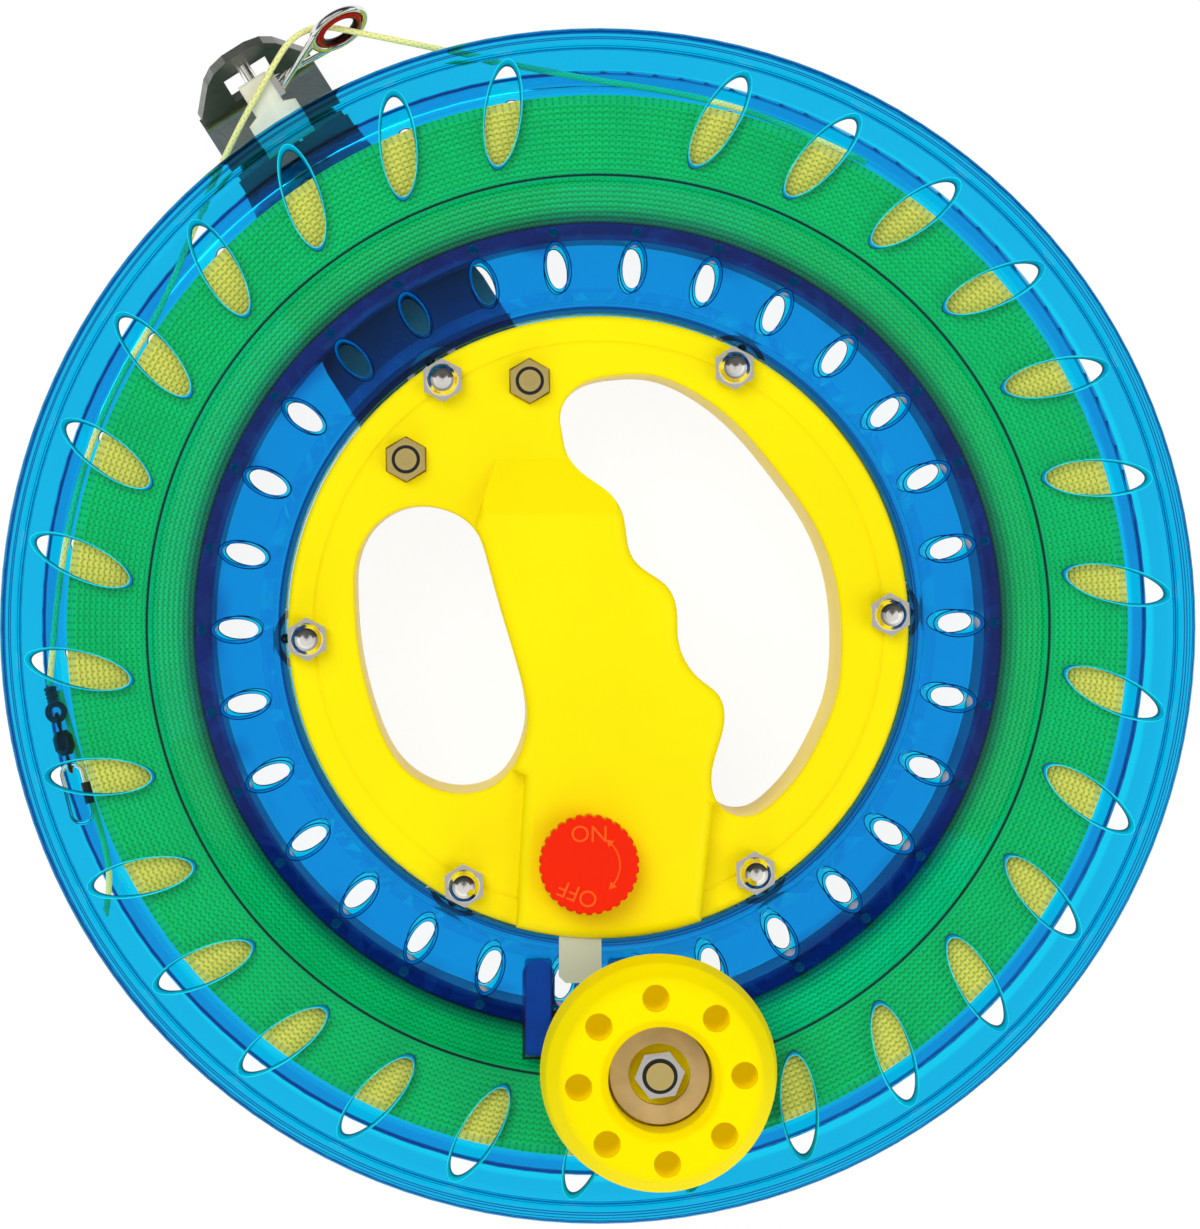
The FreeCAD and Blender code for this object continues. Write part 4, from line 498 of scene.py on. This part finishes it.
def metal(name, tint, roughness, rings=0.0, scratch=0.0, dull=0.0, dents=0.0, low=None):
    """Metal with turning marks, long scratches, a dull cast or small dents, each as strong as given.

    low gives a height and the tint below it.
    """
    finish = Finish(name)
    place = finish.place()
    z = finish.parts(place)[2]
    cloud = finish.noise(place, 220.0, 3.0)
    fine = finish.noise(place, 2600.0)
    marks = finish.noise(place, 900.0, stretch=(0.08, 1.0, 1.0))
    tone = finish.blend(cloud.between(0.35, 0.75) * dull, shade(tint, 1.05), shade(tint, 0.55))
    if low is not None:
        height, low_tint = low
        tone = finish.blend(z.between(height, height + 0.001), low_tint, tone)
    relief = (z * 9000.0).sine() * rings + marks * scratch * 2.0 + fine * 0.35
    if dents:
        relief = relief + finish.noise(place, 1700.0) * 9.0 * dents
    return finish.show(finish.principled(
        Base_Color=tone, Metallic=1.0,
        Roughness=cloud * 0.10 + (roughness - 0.04) + marks * scratch * 0.25,
        Normal=finish.bump(relief, 0.000012)))


def nylon(name, tint, roughness=0.5):
    """Waxy nylon: slightly mottled, with a fine matt skin."""
    finish = Finish(name)
    place = finish.place()
    mottle = finish.noise(place, 260.0, 4.0)
    skin = finish.noise(place, 2200.0)
    return finish.show(finish.principled(
        Base_Color=finish.blend(mottle.between(0.3, 0.75), shade(tint, 1.05), shade(tint, 0.84)),
        Roughness=skin * 0.12 + (roughness - 0.06), IOR=1.5,
        Normal=finish.bump(skin * 0.7 + mottle, 0.00005)))


def braided(name, tint, across, along, depth=0.00009, gap_shade=0.6):
    """Braided line, whose strands cross on the piece's own UV map; the strands are painted lighter
    as a highlight and the gaps between them darker as painted shade.
    """
    finish = Finish(name)
    place = finish.place()
    u, v, _ = finish.parts(finish.node("ShaderNodeUVMap").outputs[0])
    turn = 2 * math.pi
    left = ((u * along + v * across) * turn).sine().size()
    right = ((u * along - v * across) * turn).sine().size()
    strand = left.top(right)
    cloud = finish.noise(place, 60.0, 3.0)
    fuzz = finish.noise(place, 4200.0)
    # Painted highlight on the strands and painted shade in the gaps between them.
    tone = finish.blend(strand.between(0.3, 0.95), shade(tint, gap_shade), shade(tint, 1.16))
    return finish.show(finish.principled(
        Base_Color=finish.blend(cloud.between(0.45, 0.8) * 0.3, tone, shade(tint, 0.75)),
        Roughness=fuzz * 0.15 + 0.52, Sheen_Weight=0.25,
        Normal=finish.bump(strand + fuzz * 0.25, depth)))


# ----------------------------------------------------------------- finishes of the solids
WORN_BY = {
    "clear_front": ("front_flange",),
    "clear_back": ("back_flange",),
    "clear_drum": ("drum",),
    "clear_rail": ("bearing_rail", "joining_pins"),
    "yellow_plastic": ("handle_back", "handle_front"),
    "knob_plastic": ("crank_knob",),
    "red_plastic": ("lock_knob",),
    "liner_red": ("guide_eye_liner",),
    "white_plastic": ("lock_tongue", "lock_pinion"),
    "cream_nylon": ("guide_block",),
    "washer_nylon": ("crank_washer",),
    "black_nylon": ("crank_nut_insert", "guide_arm_nut_inserts", "snap_clasp"),
    "nickel": (
        "dome_nuts", "housing_bolts", "crank_nut", "crank_sleeve", "guide_pivot_rod", "swivel_snap"),
    "gold_steel": ("guide_arm_nuts", "guide_arm_screws", "crank_bolt"),
    "bracket_steel": ("guide_arm",),
    "dark_steel": ("swivel_barrel", "swivel_eyes"),
    "bearing_steel": ("bearing_inner_rings", "bearing_balls") + tuple(
        f"bearing_outer_ring_{index}" for index in range(1, 7)),
    "chrome_wire": ("guide_eye_frame",),
}


class WINDER_OT_finishes(bpy.types.Operator):
    """Give every solid its finish"""

    bl_idname = "winder.finishes"
    bl_label = "Finishes"

    def execute(self, context):
        tints = finishes()
        rim = ((PACK_EDGE, 0.0002, tints.clear_edge), (RIM_EDGE, 0.0003, tints.clear_rim))
        dish = (
            # From the first shade radius to the second the plastic is painted navy, as shade.
            (LIP_EDGE, 0.0001, tints.clear_band), (DISH_SHADE_START, 0.0003, (0.0, 0.2, 0.58)),
            (DISH_SHADE_END, 0.0016, tints.clear_side))
        made = {
            "clear_front": clear_plastic(
                "clear_front", (0.0, 0.26, 0.38), dish + rim,
                # Painted shade at the hub's lip, the dish's crease, the rim's grooves, the stop ribs and
                # the drum.
                ((LIP_EDGE, 0.0002), (CREASE, 0.0003)) + FRONT_SHADE_LINES, STOP_RIBS, True),
            "clear_back": clear_plastic(
                "clear_back", tints.clear_band, ((BAND_EDGE, 0.0002, tints.clear_side),) + rim,
                BACK_SHADE_LINES),
            "clear_drum": tinted_film("clear_drum", tints.clear_drum, 0.9),
            "clear_rail": tinted_film("clear_rail", (0.0, 0.25, 0.7), 0.12),
            "yellow_plastic": moulded("yellow_plastic", tints.yellow),
            # The knob's holes get a painted glow.
            "knob_plastic": moulded(
                "knob_plastic", tints.knob, 0.5, gloss=0.03,
                holes=(CRANK_CENTRE, KNOB_HOLES, CRANK_TOP, (0.11, 0.1, 0.0))),
            "red_plastic": moulded("red_plastic", tints.red, 0.4, 0.00006),
            "liner_red": dark_inside("liner_red", (0.33, 0.004, 0.004), EYE, *LINER_TURN),
            "white_plastic": moulded("white_plastic", (0.6, 0.64, 0.5), 0.36),
            "cream_nylon": nylon("cream_nylon", tints.cream),
            "washer_nylon": nylon("washer_nylon", (0.62, 0.47, 0.27), 0.36),
            "black_nylon": nylon("black_nylon", (0.012, 0.012, 0.013), 0.42),
            "nickel": metal("nickel", (0.93, 0.9, 0.84), 0.16, rings=0.4),
            "gold_steel": metal("gold_steel", (1.0, 0.74, 0.27), 0.24, rings=0.6, dull=0.1),
            "bracket_steel": metal(
                "bracket_steel", tints.steel, 0.26, scratch=1.0, dull=0.3, dents=1.0,
                low=(STRIP_TOP, (0.33, 0.35, 0.37))),
            "dark_steel": metal("dark_steel", (0.05, 0.05, 0.055), 0.22, rings=0.4),
            "bearing_steel": metal("bearing_steel", (0.62, 0.62, 0.63), 0.12, rings=0.3),
            "chrome_wire": metal("chrome_wire", (0.78, 0.77, 0.76), 0.08),
        }
        for finish, names in WORN_BY.items():
            for name in names:
                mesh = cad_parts[name].data
                mesh.materials.clear()
                mesh.materials.append(made[finish])
        return {"FINISHED"}


# ----------------------------------------------------------------- ovals, slots and ribs
class WINDER_OT_oval_edges(bpy.types.Operator):
    """Line the ovals and slots of the spool with their walls and roll a fine lip round each"""

    bl_idname = "winder.oval_edges"
    bl_label = "Edges of the ovals"

    @staticmethod
    def shaped(name, size):
        """Give the circle that was just added its own name and the size of an oval."""
        piece = added(name)
        piece.scale = (size[0] / 2, size[1] / 2, 1.0)
        bpy.ops.object.transform_apply(location=False, rotation=False, scale=True)
        return piece

    def lip(self, size):
        """A closed wire as long and wide as the oval."""
        deselect()
        bpy.ops.curve.primitive_bezier_circle_add(radius=1.0)
        lip = self.shaped("oval_lip", size)
        lip.data.bevel_depth = 0.00018
        lip.data.bevel_resolution = 2
        lip.data.resolution_u = 14
        return as_mesh(lip)

    def wall(self, size, lean):
        """The drafted wall of an oval, open at both ends; its foot leans to the spool's axis."""
        depth = 0.0019
        draft = 0.00025
        foot = (-lean, 0, -depth)
        narrower = [1 - 2 * draft / whole for whole in size]
        deselect()
        bpy.ops.mesh.primitive_circle_add(vertices=64, radius=1.0, fill_type="NOTHING")
        wall = self.shaped("oval_wall", size)
        bpy.ops.object.mode_set(mode="EDIT")
        bpy.ops.mesh.select_all(action="SELECT")
        bpy.ops.mesh.extrude_region_move(TRANSFORM_OT_translate={"value": foot})
        bpy.ops.transform.resize(value=(*narrower, 1), center_override=foot)
        bpy.ops.object.mode_set(mode="OBJECT")
        solid = wall.modifiers.new("wall", "SOLIDIFY")
        solid.thickness = 0.00008
        solid.offset = 0.0
        bpy.ops.object.modifier_apply(modifier=solid.name)
        return wall

    @staticmethod
    def ring(name, first, row, radius, height, material):
        """Copies of one piece along a row round the spool, as one piece that turns with it."""
        copies = []
        for index in range(row["count"]):
            copy = first.copy()
            copy.data = first.data.copy()
            bpy.context.collection.objects.link(copy)
            angle = math.radians(row["start"] + ROW_STEP * index)
            spot = Vector((radius * math.cos(angle), radius * math.sin(angle), height))
            turned = Matrix.Rotation(angle + math.radians(row["lean"]), 4, "Z")
            copy.matrix_world = Matrix.Translation(spot) @ turned
            copies.append(settle(copy))
        bpy.data.objects.remove(first)
        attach(wear(smooth(join(name, copies)), material), "spool")

    def execute(self, context):
        # The lips of the front ovals are painted light cyan as a highlight; the other lips are painted
        # near black as shade.
        bright = tinted_film("highlight_lip", (0.02, 0.75, 1.0), 0.95, 1.05)
        dark = tinted_film("shaded_lip", (0.0, 0.02, 0.14), 0.95, 1.05)
        # Heights over which the oval walls are painted darker downwards, as shade deep in the holes.
        foot = (SIDE_FRONT - 0.0018, SIDE_FRONT - 0.0008)
        oval_wall = tinted_film("oval_wall", (0.0, 0.55, 0.95), 0.95, 1.02, foot)
        slot_wall = tinted_film("slot_wall", (0.0, 0.24, 0.72), 0.9, 1.02)
        lips = (
            ("front_oval_lips", OVAL_ROW, OVAL_SIZE, FRONT_OVAL_RADIUS, SIDE_FRONT, bright),
            ("back_oval_lips", OVAL_ROW, OVAL_SIZE, BACK_OVAL_RADIUS, SIDE_BACK, dark),
            ("front_slot_lips", SLOT_ROW, SLOT_LIP_SIZE, SLOT_LIP_RADIUS, BAND_FRONT, dark),
            ("back_slot_lips", SLOT_ROW, SLOT_SIZE, SLOT_RADIUS, BAND_BACK, dark),
        )
        for name, row, size, radius, height, material in lips:
            self.ring(name, self.lip(size), row, radius, height, material)
        walls = (
            ("front_oval_walls", OVAL_ROW, OVAL_SIZE, FRONT_OVAL_RADIUS, SIDE_FRONT, 0.0009, oval_wall),
            ("front_slot_walls", SLOT_ROW, SLOT_SIZE, SLOT_RADIUS, BAND_FRONT, 0.0002, slot_wall),
        )
        for name, row, size, radius, height, lean, material in walls:
            self.ring(name, self.wall(size, lean), row, radius, height, material)
        return {"FINISHED"}


class WINDER_OT_rib_cores(bpy.types.Operator):
    """Deepen the stop ribs, whose thick plastic shows darker"""

    bl_idname = "winder.rib_cores"
    bl_label = "Cores of the stop ribs"

    def execute(self, context):
        core_middle = 0.035
        core_height = 0.0032
        side_margin = 0.0012
        end_margin = 0.0016
        cores = []
        for low, high in STOP_RIBS:
            deselect()
            spot = (Vector(low) + Vector(high)) / 2
            bpy.ops.mesh.primitive_cube_add(size=1.0, location=(spot.x, spot.y, core_middle))
            core = added("rib_core")
            core.scale = (high[0] - low[0] - side_margin, high[1] - low[1] - end_margin, core_height)
            settle(core)
            edges = core.modifiers.new("edges", "BEVEL")
            edges.width = 0.0006
            edges.segments = 3
            bpy.ops.object.modifier_apply(modifier=edges.name)
            cores.append(core)
        film = tinted_film("rib_core", (0.0, 0.13, 0.5), 0.85)
        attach(wear(smooth(join("rib_cores", cores)), film), "spool")
        return {"FINISHED"}


# ----------------------------------------------------------------- the wound line
def pack_section():
    """Half of the pack's outline, as radius and height above its middle, from the drum out."""
    half = (PACK_HIGH.z - PACK_LOW.z) / 2
    slope_height = 0.0051
    slope_width = 0.0097
    edge = 0.0015
    return [
        (DRUM_RADIUS, half - slope_height), (DRUM_RADIUS + slope_width, half),
        (PACK_RADIUS - edge, half), (PACK_RADIUS, half - edge), (PACK_RADIUS, 0.0),
    ]


def spots_along(outline, pitch, inset):
    """Evenly spaced spots along an outline, moved to its inner side, half a step from its ends."""
    whole = sum(math.dist(a, b) for a, b in zip(outline, outline[1:]))
    pitch = whole / round(whole / pitch)
    spots = []
    left_over = pitch / 2
    for (x0, z0), (x1, z1) in zip(outline, outline[1:]):
        length = math.hypot(x1 - x0, z1 - z0)
        along_x, along_z = (x1 - x0) / length, (z1 - z0) / length
        while left_over < length:
            x, z = x0 + along_x * left_over, z0 + along_z * left_over
            spots.append((x + along_z * inset, z - along_x * inset))
            left_over += pitch
        left_over -= length
    return spots


class WINDER_OT_winding(bpy.types.Operator):
    """Wind the line on the drum, turn by turn"""

    bl_idname = "winder.winding"
    bl_label = "Wound line"

    @staticmethod
    def core(shrink):
        """A closed copy of the solid pack, a little smaller, that fills what the turns leave open."""
        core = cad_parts["line_pack"].copy()
        core.data = core.data.copy()
        core.parent = None
        core.matrix_world = Matrix()
        bpy.context.collection.objects.link(core)
        pick(core)
        bpy.ops.object.mode_set(mode="EDIT")
        bpy.ops.mesh.select_all(action="SELECT")
        bpy.ops.mesh.remove_doubles(threshold=0.00001)
        bpy.ops.transform.shrink_fatten(value=-shrink)
        bpy.ops.object.mode_set(mode="OBJECT")
        return core

    def execute(self, context):
        width = sizes().line_width
        thick = 1.06
        deselect()
        turns = []
        for side in (1, -1):
            for radius, height in spots_along(pack_section(), sizes().coil_pitch, width / 2):
                bpy.ops.mesh.primitive_torus_add(
                    major_radius=radius, minor_radius=width / 2 * thick,
                    major_segments=sizes().coil_steps, minor_segments=7,
                    location=(0, 0, WHEEL_MIDDLE + side * height))
                turns.append(added("turn"))
        winding = settle(join("wound_line", [self.core(width * 0.45)] + turns))
        bpy.ops.object.shade_smooth()
        wear(winding, braided("wound_line", finishes().line, 1.0, 230.0))
        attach(winding, "spool")
        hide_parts("line_pack")
        return {"FINISHED"}


# ----------------------------------------------------------------- the free line
TACKLE = ("line_knot", "swivel_barrel", "swivel_eyes", "swivel_snap", "snap_clasp")


def round_spot(angle, radius, z):
    """A point of a route from its angle in degrees and its radius and height in millimetres."""
    turn = math.radians(angle)
    return Vector((radius * math.cos(turn), radius * math.sin(turn), z)) / 1000


EYE = Vector((-0.04793, 0.11005, 0.0342))
LEAD_POINTS = [
    round_spot(60.0, 99.3, 29.0), round_spot(70.0, 99.5, 29.4), Vector((0.01735, 0.0984, 0.0299)),
    Vector((-0.0072, 0.1019, 0.0309)), Vector((-0.0305, 0.1068, 0.0323)), EYE,
]
TAIL_POINTS = [
    EYE, EYE + (EYE - LEAD_POINTS[-2]) * 0.4, Vector((-0.0624, 0.0993, 0.0325)),
    Vector((-0.0687, 0.0873, 0.0322)), Vector((-0.0746, 0.0734, 0.0318)),
    round_spot(144.2, 99.6, 31.2), round_spot(153.0, 99.8, 30.4), round_spot(162.0, 99.8, 29.5),
    round_spot(171.0, 99.9, 28.8), round_spot(179.0, 100.6, 28.3), Vector((-0.10165, -0.0109, 0.028)),
]
END_POINTS = [
    Vector((-0.0999, -0.0119, 0.02675)), round_spot(191.0, 99.9, 25.0), round_spot(196.5, 99.6, 23.6),
    round_spot(202.0, 99.9, 23.2), round_spot(207.5, 102.0, 23.0), Vector((-0.0918, -0.0541, 0.0226)),
]


def line_curve(name, points, width):
    """A round line: a smooth spline that the points guide, as thick as their radius says."""
    data = bpy.data.curves.new(name, "CURVE")
    data.dimensions = "3D"
    data.bevel_depth = 1.0
    data.bevel_resolution = 3
    data.resolution_u = 16
    data.use_fill_caps = True
    spline = data.splines.new("NURBS")
    spline.points.add(len(points) - 1)
    for spot, point in zip(spline.points, points):
        spot.co = (*point, 1.0)
        spot.radius = width / 2
    spline.order_u = 3
    spline.use_endpoint_u = True
    piece = bpy.data.objects.new(name, data)
    bpy.context.collection.objects.link(piece)
    return piece


def curve_path(piece):
    """The points that the spline itself passes through."""
    depth = piece.data.bevel_depth
    piece.data.bevel_depth = 0.0
    mesh = bpy.data.meshes.new_from_object(piece)
    piece.data.bevel_depth = depth
    spots = [vertex.co.copy() for vertex in mesh.vertices]
    bpy.data.meshes.remove(mesh)
    return spots


class WINDER_OT_free_line(bpy.types.Operator):
    """Lay the free end of the line through the guide and round to its swivel"""

    bl_idname = "winder.free_line"
    bl_label = "Free line"

    def execute(self, context):
        width = sizes().line_width
        material = braided("free_line", finishes().free_line, 2.0, 40.0, 0.00005, 0.82)
        # The lead and the tail run to and from the eye and stay where they are laid; only the loose end
        # is attached to the hub.
        to_eye = ("hub", "line_guide", LEAD_POINTS[-2], EYE)
        from_eye = ("line_guide", "hub", EYE, TAIL_POINTS[2])
        routes = (
            ("line_lead", LEAD_POINTS, "object", "taut", (), to_eye),
            ("line_tail", TAIL_POINTS, "knot", "taut", TACKLE, from_eye),
            ("line_end", END_POINTS, "bare", "loose", (), None),
        )
        for name, points, far_end, lay, tackle, bend in routes:
            curve = line_curve(name, points, width)
            path = curve_path(curve)
            piece = wear(smooth(as_mesh(curve), 60.0), material)
            if bend is None:
                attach(piece, "hub")
            else:
                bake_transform(piece)
            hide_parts("free_" + name)
        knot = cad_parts["line_knot"].data
        knot.materials.clear()
        knot.materials.append(braided("knot_cord", (0.03, 0.035, 0.04), 2.0, 40.0, 0.00005))
        return {"FINISHED"}


# ----------------------------------------------------------------- lettering of the lock
class WINDER_OT_lettering(bpy.types.Operator):
    """Raise ON, OFF and a turning arrow on the lock knob"""

    bl_idname = "winder.lettering"
    bl_label = "Lock lettering"

    @staticmethod
    def word(letters, angle, radius, relief):
        """One word in relief, on a circle round the middle of the knob."""
        deselect()
        bpy.ops.object.text_add(location=(0, 0, 0))
        text = added("lock_word")
        text.data.body = letters
        text.data.size = sizes().letter_height * 1.35
        text.data.extrude = relief
        text.data.align_x = "CENTER"
        text.data.align_y = "CENTER"
        text = as_mesh(text)
        lean = Matrix.Rotation(math.radians(angle), 4, "Z")
        outwards = Matrix.Translation(Vector((0, radius, 0)))
        text.matrix_world = Matrix.Translation(LOCK_FACE) @ lean @ outwards
        return settle(text)

    @staticmethod
    def arc(ends, radius, thickness):
        """The arrow's shaft: what two cuts leave of a thin ring."""
        deselect()
        bpy.ops.mesh.primitive_torus_add(
            major_radius=radius, minor_radius=thickness, major_segments=72, minor_segments=6,
            location=LOCK_FACE)
        arc = settle(added("lock_arc"))
        pick(arc)
        bpy.ops.object.mode_set(mode="EDIT")
        for angle, outwards in zip(ends, (1, -1)):
            turn = math.radians(angle)
            bpy.ops.mesh.select_all(action="SELECT")
            bpy.ops.mesh.bisect(
                plane_co=LOCK_FACE, plane_no=Vector((-math.sin(turn), math.cos(turn), 0)) * outwards,
                clear_outer=True, use_fill=True)
        bpy.ops.object.mode_set(mode="OBJECT")
        return arc

    @staticmethod
    def arrow_head(angle, heading, radius, relief):
        turn = math.radians(angle)
        spot = LOCK_FACE + Vector((math.cos(turn), math.sin(turn), 0)) * radius
        deselect()
        bpy.ops.mesh.primitive_cylinder_add(
            vertices=3, radius=0.0009, depth=relief * 2, location=spot,
            rotation=(0, 0, math.radians(heading - 90)))
        return settle(added("lock_arrow"))

    def execute(self, context):
        relief = 0.00016
        radius = 0.0056
        ends = (48.0, -42.0)
        headings = (138.0, -132.0)
        pieces = [self.word("ON", 0.0, radius, relief), self.word("OFF", 158.0, radius, relief)]
        pieces.append(self.arc(ends, radius, relief * 1.1))
        for angle, heading in zip(ends, headings):
            pieces.append(self.arrow_head(angle, heading, radius, relief))
        letters = join("lock_lettering", pieces)
        # The letters are painted a lighter red than the knob, as a highlight on their raised faces.
        wear(letters, moulded("lettering_highlit_red", (1.0, 0.11, 0.01), 0.22))
        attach(letters, "lock_dial")
        return {"FINISHED"}


# ----------------------------------------------------------------- studio
CAMERA_SPOT = Vector((-0.0229, 0.0182, 0.986))
CAMERA_AIM = Vector((0.00015, 0.0023, 0.036))

# Name, place, width and watts.
LAMPS = (
    ("key_lamp", (-0.35, 0.45, 1.0), 0.8, 5.8),
    ("fill_lamp", (0.7, -0.2, 0.8), 0.8, 3.0),
    ("low_lamp", (-0.1, -0.9, 0.5), 0.7, 2.0),
)

# How bright the surroundings are, from straight below to straight above.
SKY_STOPS = ((0.0, 1.0), (0.34, 0.95), (0.46, 0.16), (0.7, 0.1), (0.82, 0.8), (0.92, 0.7), (1.0, 0.42))


class WINDER_OT_studio(bpy.types.Operator):
    """Set up the pale floor, the soft light and the camera"""

    bl_idname = "winder.studio"
    bl_label = "Studio"

    @staticmethod
    def floor():
        """A white sheet, lit from within where it is looked at, that still takes shadows."""
        deselect()
        bpy.ops.mesh.primitive_plane_add(size=6.0, location=(0, 0, -0.0002))
        floor = added("studio_floor")
        finish = Finish("floor_paper")
        grain = finish.noise(finish.place(), 3.0)
        paper = finish.principled(
            Base_Color=finish.blend(grain, (0.88, 0.88, 0.88), (0.9, 0.9, 0.9)), Roughness=0.9)
        glow = finish.filled("ShaderNodeEmission", Color=(1.0, 1.0, 1.0), Strength=1.05)
        seen = finish.ray("Is Camera Ray").top(
            finish.ray("Is Glossy Ray")).top(finish.ray("Is Transmission Ray"))
        floor.data.materials.append(finish.show(finish.mixed(seen * 0.86, paper, glow)))

    @staticmethod
    def lamp(name, spot, width, watts):
        """A round soft lamp that points at the hub."""
        data = bpy.data.lights.new(name, "AREA")
        data.shape = "DISK"
        data.size = width
        data.energy = watts
        made = bpy.data.objects.new(name, data)
        made.location = spot
        made.rotation_euler = (-Vector(spot)).to_track_quat("-Z", "Y").to_euler()
        made.visible_glossy = False
        bpy.context.collection.objects.link(made)

    @staticmethod
    def sky():
        """White to the camera; reflections are dimmer towards the back, where a wall would be."""
        world = bpy.data.worlds.new("studio_world")
        world.use_nodes = True
        sky = Nodes(world.node_tree)
        _, back, up = sky.parts(sky.node("ShaderNodeTexCoord").outputs["Generated"])
        ramp = sky.filled("ShaderNodeValToRGB", {"stops": SKY_STOPS}, Fac=up)
        dimming = sky.ray("Is Glossy Ray") * back.between(0.2, 0.3) * 0.88
        bright = Value(sky, ramp.outputs["Color"]) * (1.0 - dimming)
        background = world.node_tree.nodes["Background"]
        background.inputs["Color"].default_value = (1, 1, 1, 1)
        sky.feed(background.inputs["Strength"], bright.top(sky.ray("Is Camera Ray")))
        return world

    @staticmethod
    def camera():
        data = bpy.data.cameras.new("winder_camera")
        data.lens = sizes().lens
        data.sensor_width = 36.0
        data.sensor_fit = "AUTO"
        data.clip_start = 0.01
        camera = bpy.data.objects.new("winder_camera", data)
        camera.location = CAMERA_SPOT
        backwards = (CAMERA_SPOT - CAMERA_AIM).normalized()
        rightwards = Vector((0, 1, 0)).cross(backwards).normalized()
        turned = Matrix((rightwards, backwards.cross(rightwards), backwards)).transposed()
        camera.rotation_euler = turned.to_euler()
        bpy.context.collection.objects.link(camera)
        return camera

    def execute(self, context):
        self.floor()
        for lamp in LAMPS:
            self.lamp(*lamp)
        context.scene.world = self.sky()
        context.scene.camera = self.camera()
        context.scene.view_settings.view_transform = "Standard"
        return {"FINISHED"}


# ----------------------------------------------------------------- panel and registration
OPERATORS = (
    WINDER_OT_studio, WINDER_OT_free_line, WINDER_OT_finishes, WINDER_OT_oval_edges,
    WINDER_OT_rib_cores, WINDER_OT_winding, WINDER_OT_lettering,
)


class WINDER_PT_panel(bpy.types.Panel):
    """Lists the winder's settings and steps"""

    bl_idname = "WINDER_PT_panel"
    bl_label = "Kite line winder"
    bl_space_type = "VIEW_3D"
    bl_region_type = "UI"
    bl_category = "Winder"

    def draw(self, context):
        for group in (finishes(), sizes()):
            for name in group.__annotations__:
                self.layout.prop(group, name)
        for operator in OPERATORS:
            self.layout.operator(operator.bl_idname)


CLASSES = (WinderFinishes, WinderSizes) + OPERATORS + (WINDER_PT_panel,)


def register():
    for made in CLASSES:
        bpy.utils.register_class(made)
    bpy.types.Scene.winder_finishes = PointerProperty(type=WinderFinishes)
    bpy.types.Scene.winder_sizes = PointerProperty(type=WinderSizes)


def unregister():
    del bpy.types.Scene.winder_sizes
    del bpy.types.Scene.winder_finishes
    for made in reversed(CLASSES):
        bpy.utils.unregister_class(made)


def main():
    register()
    bpy.ops.winder.studio()
    bpy.ops.winder.free_line()
    bpy.ops.winder.finishes()
    bpy.ops.winder.oval_edges()
    bpy.ops.winder.rib_cores()
    bpy.ops.winder.winding()
    bpy.ops.winder.lettering()


if __name__ == "__main__":
    main()
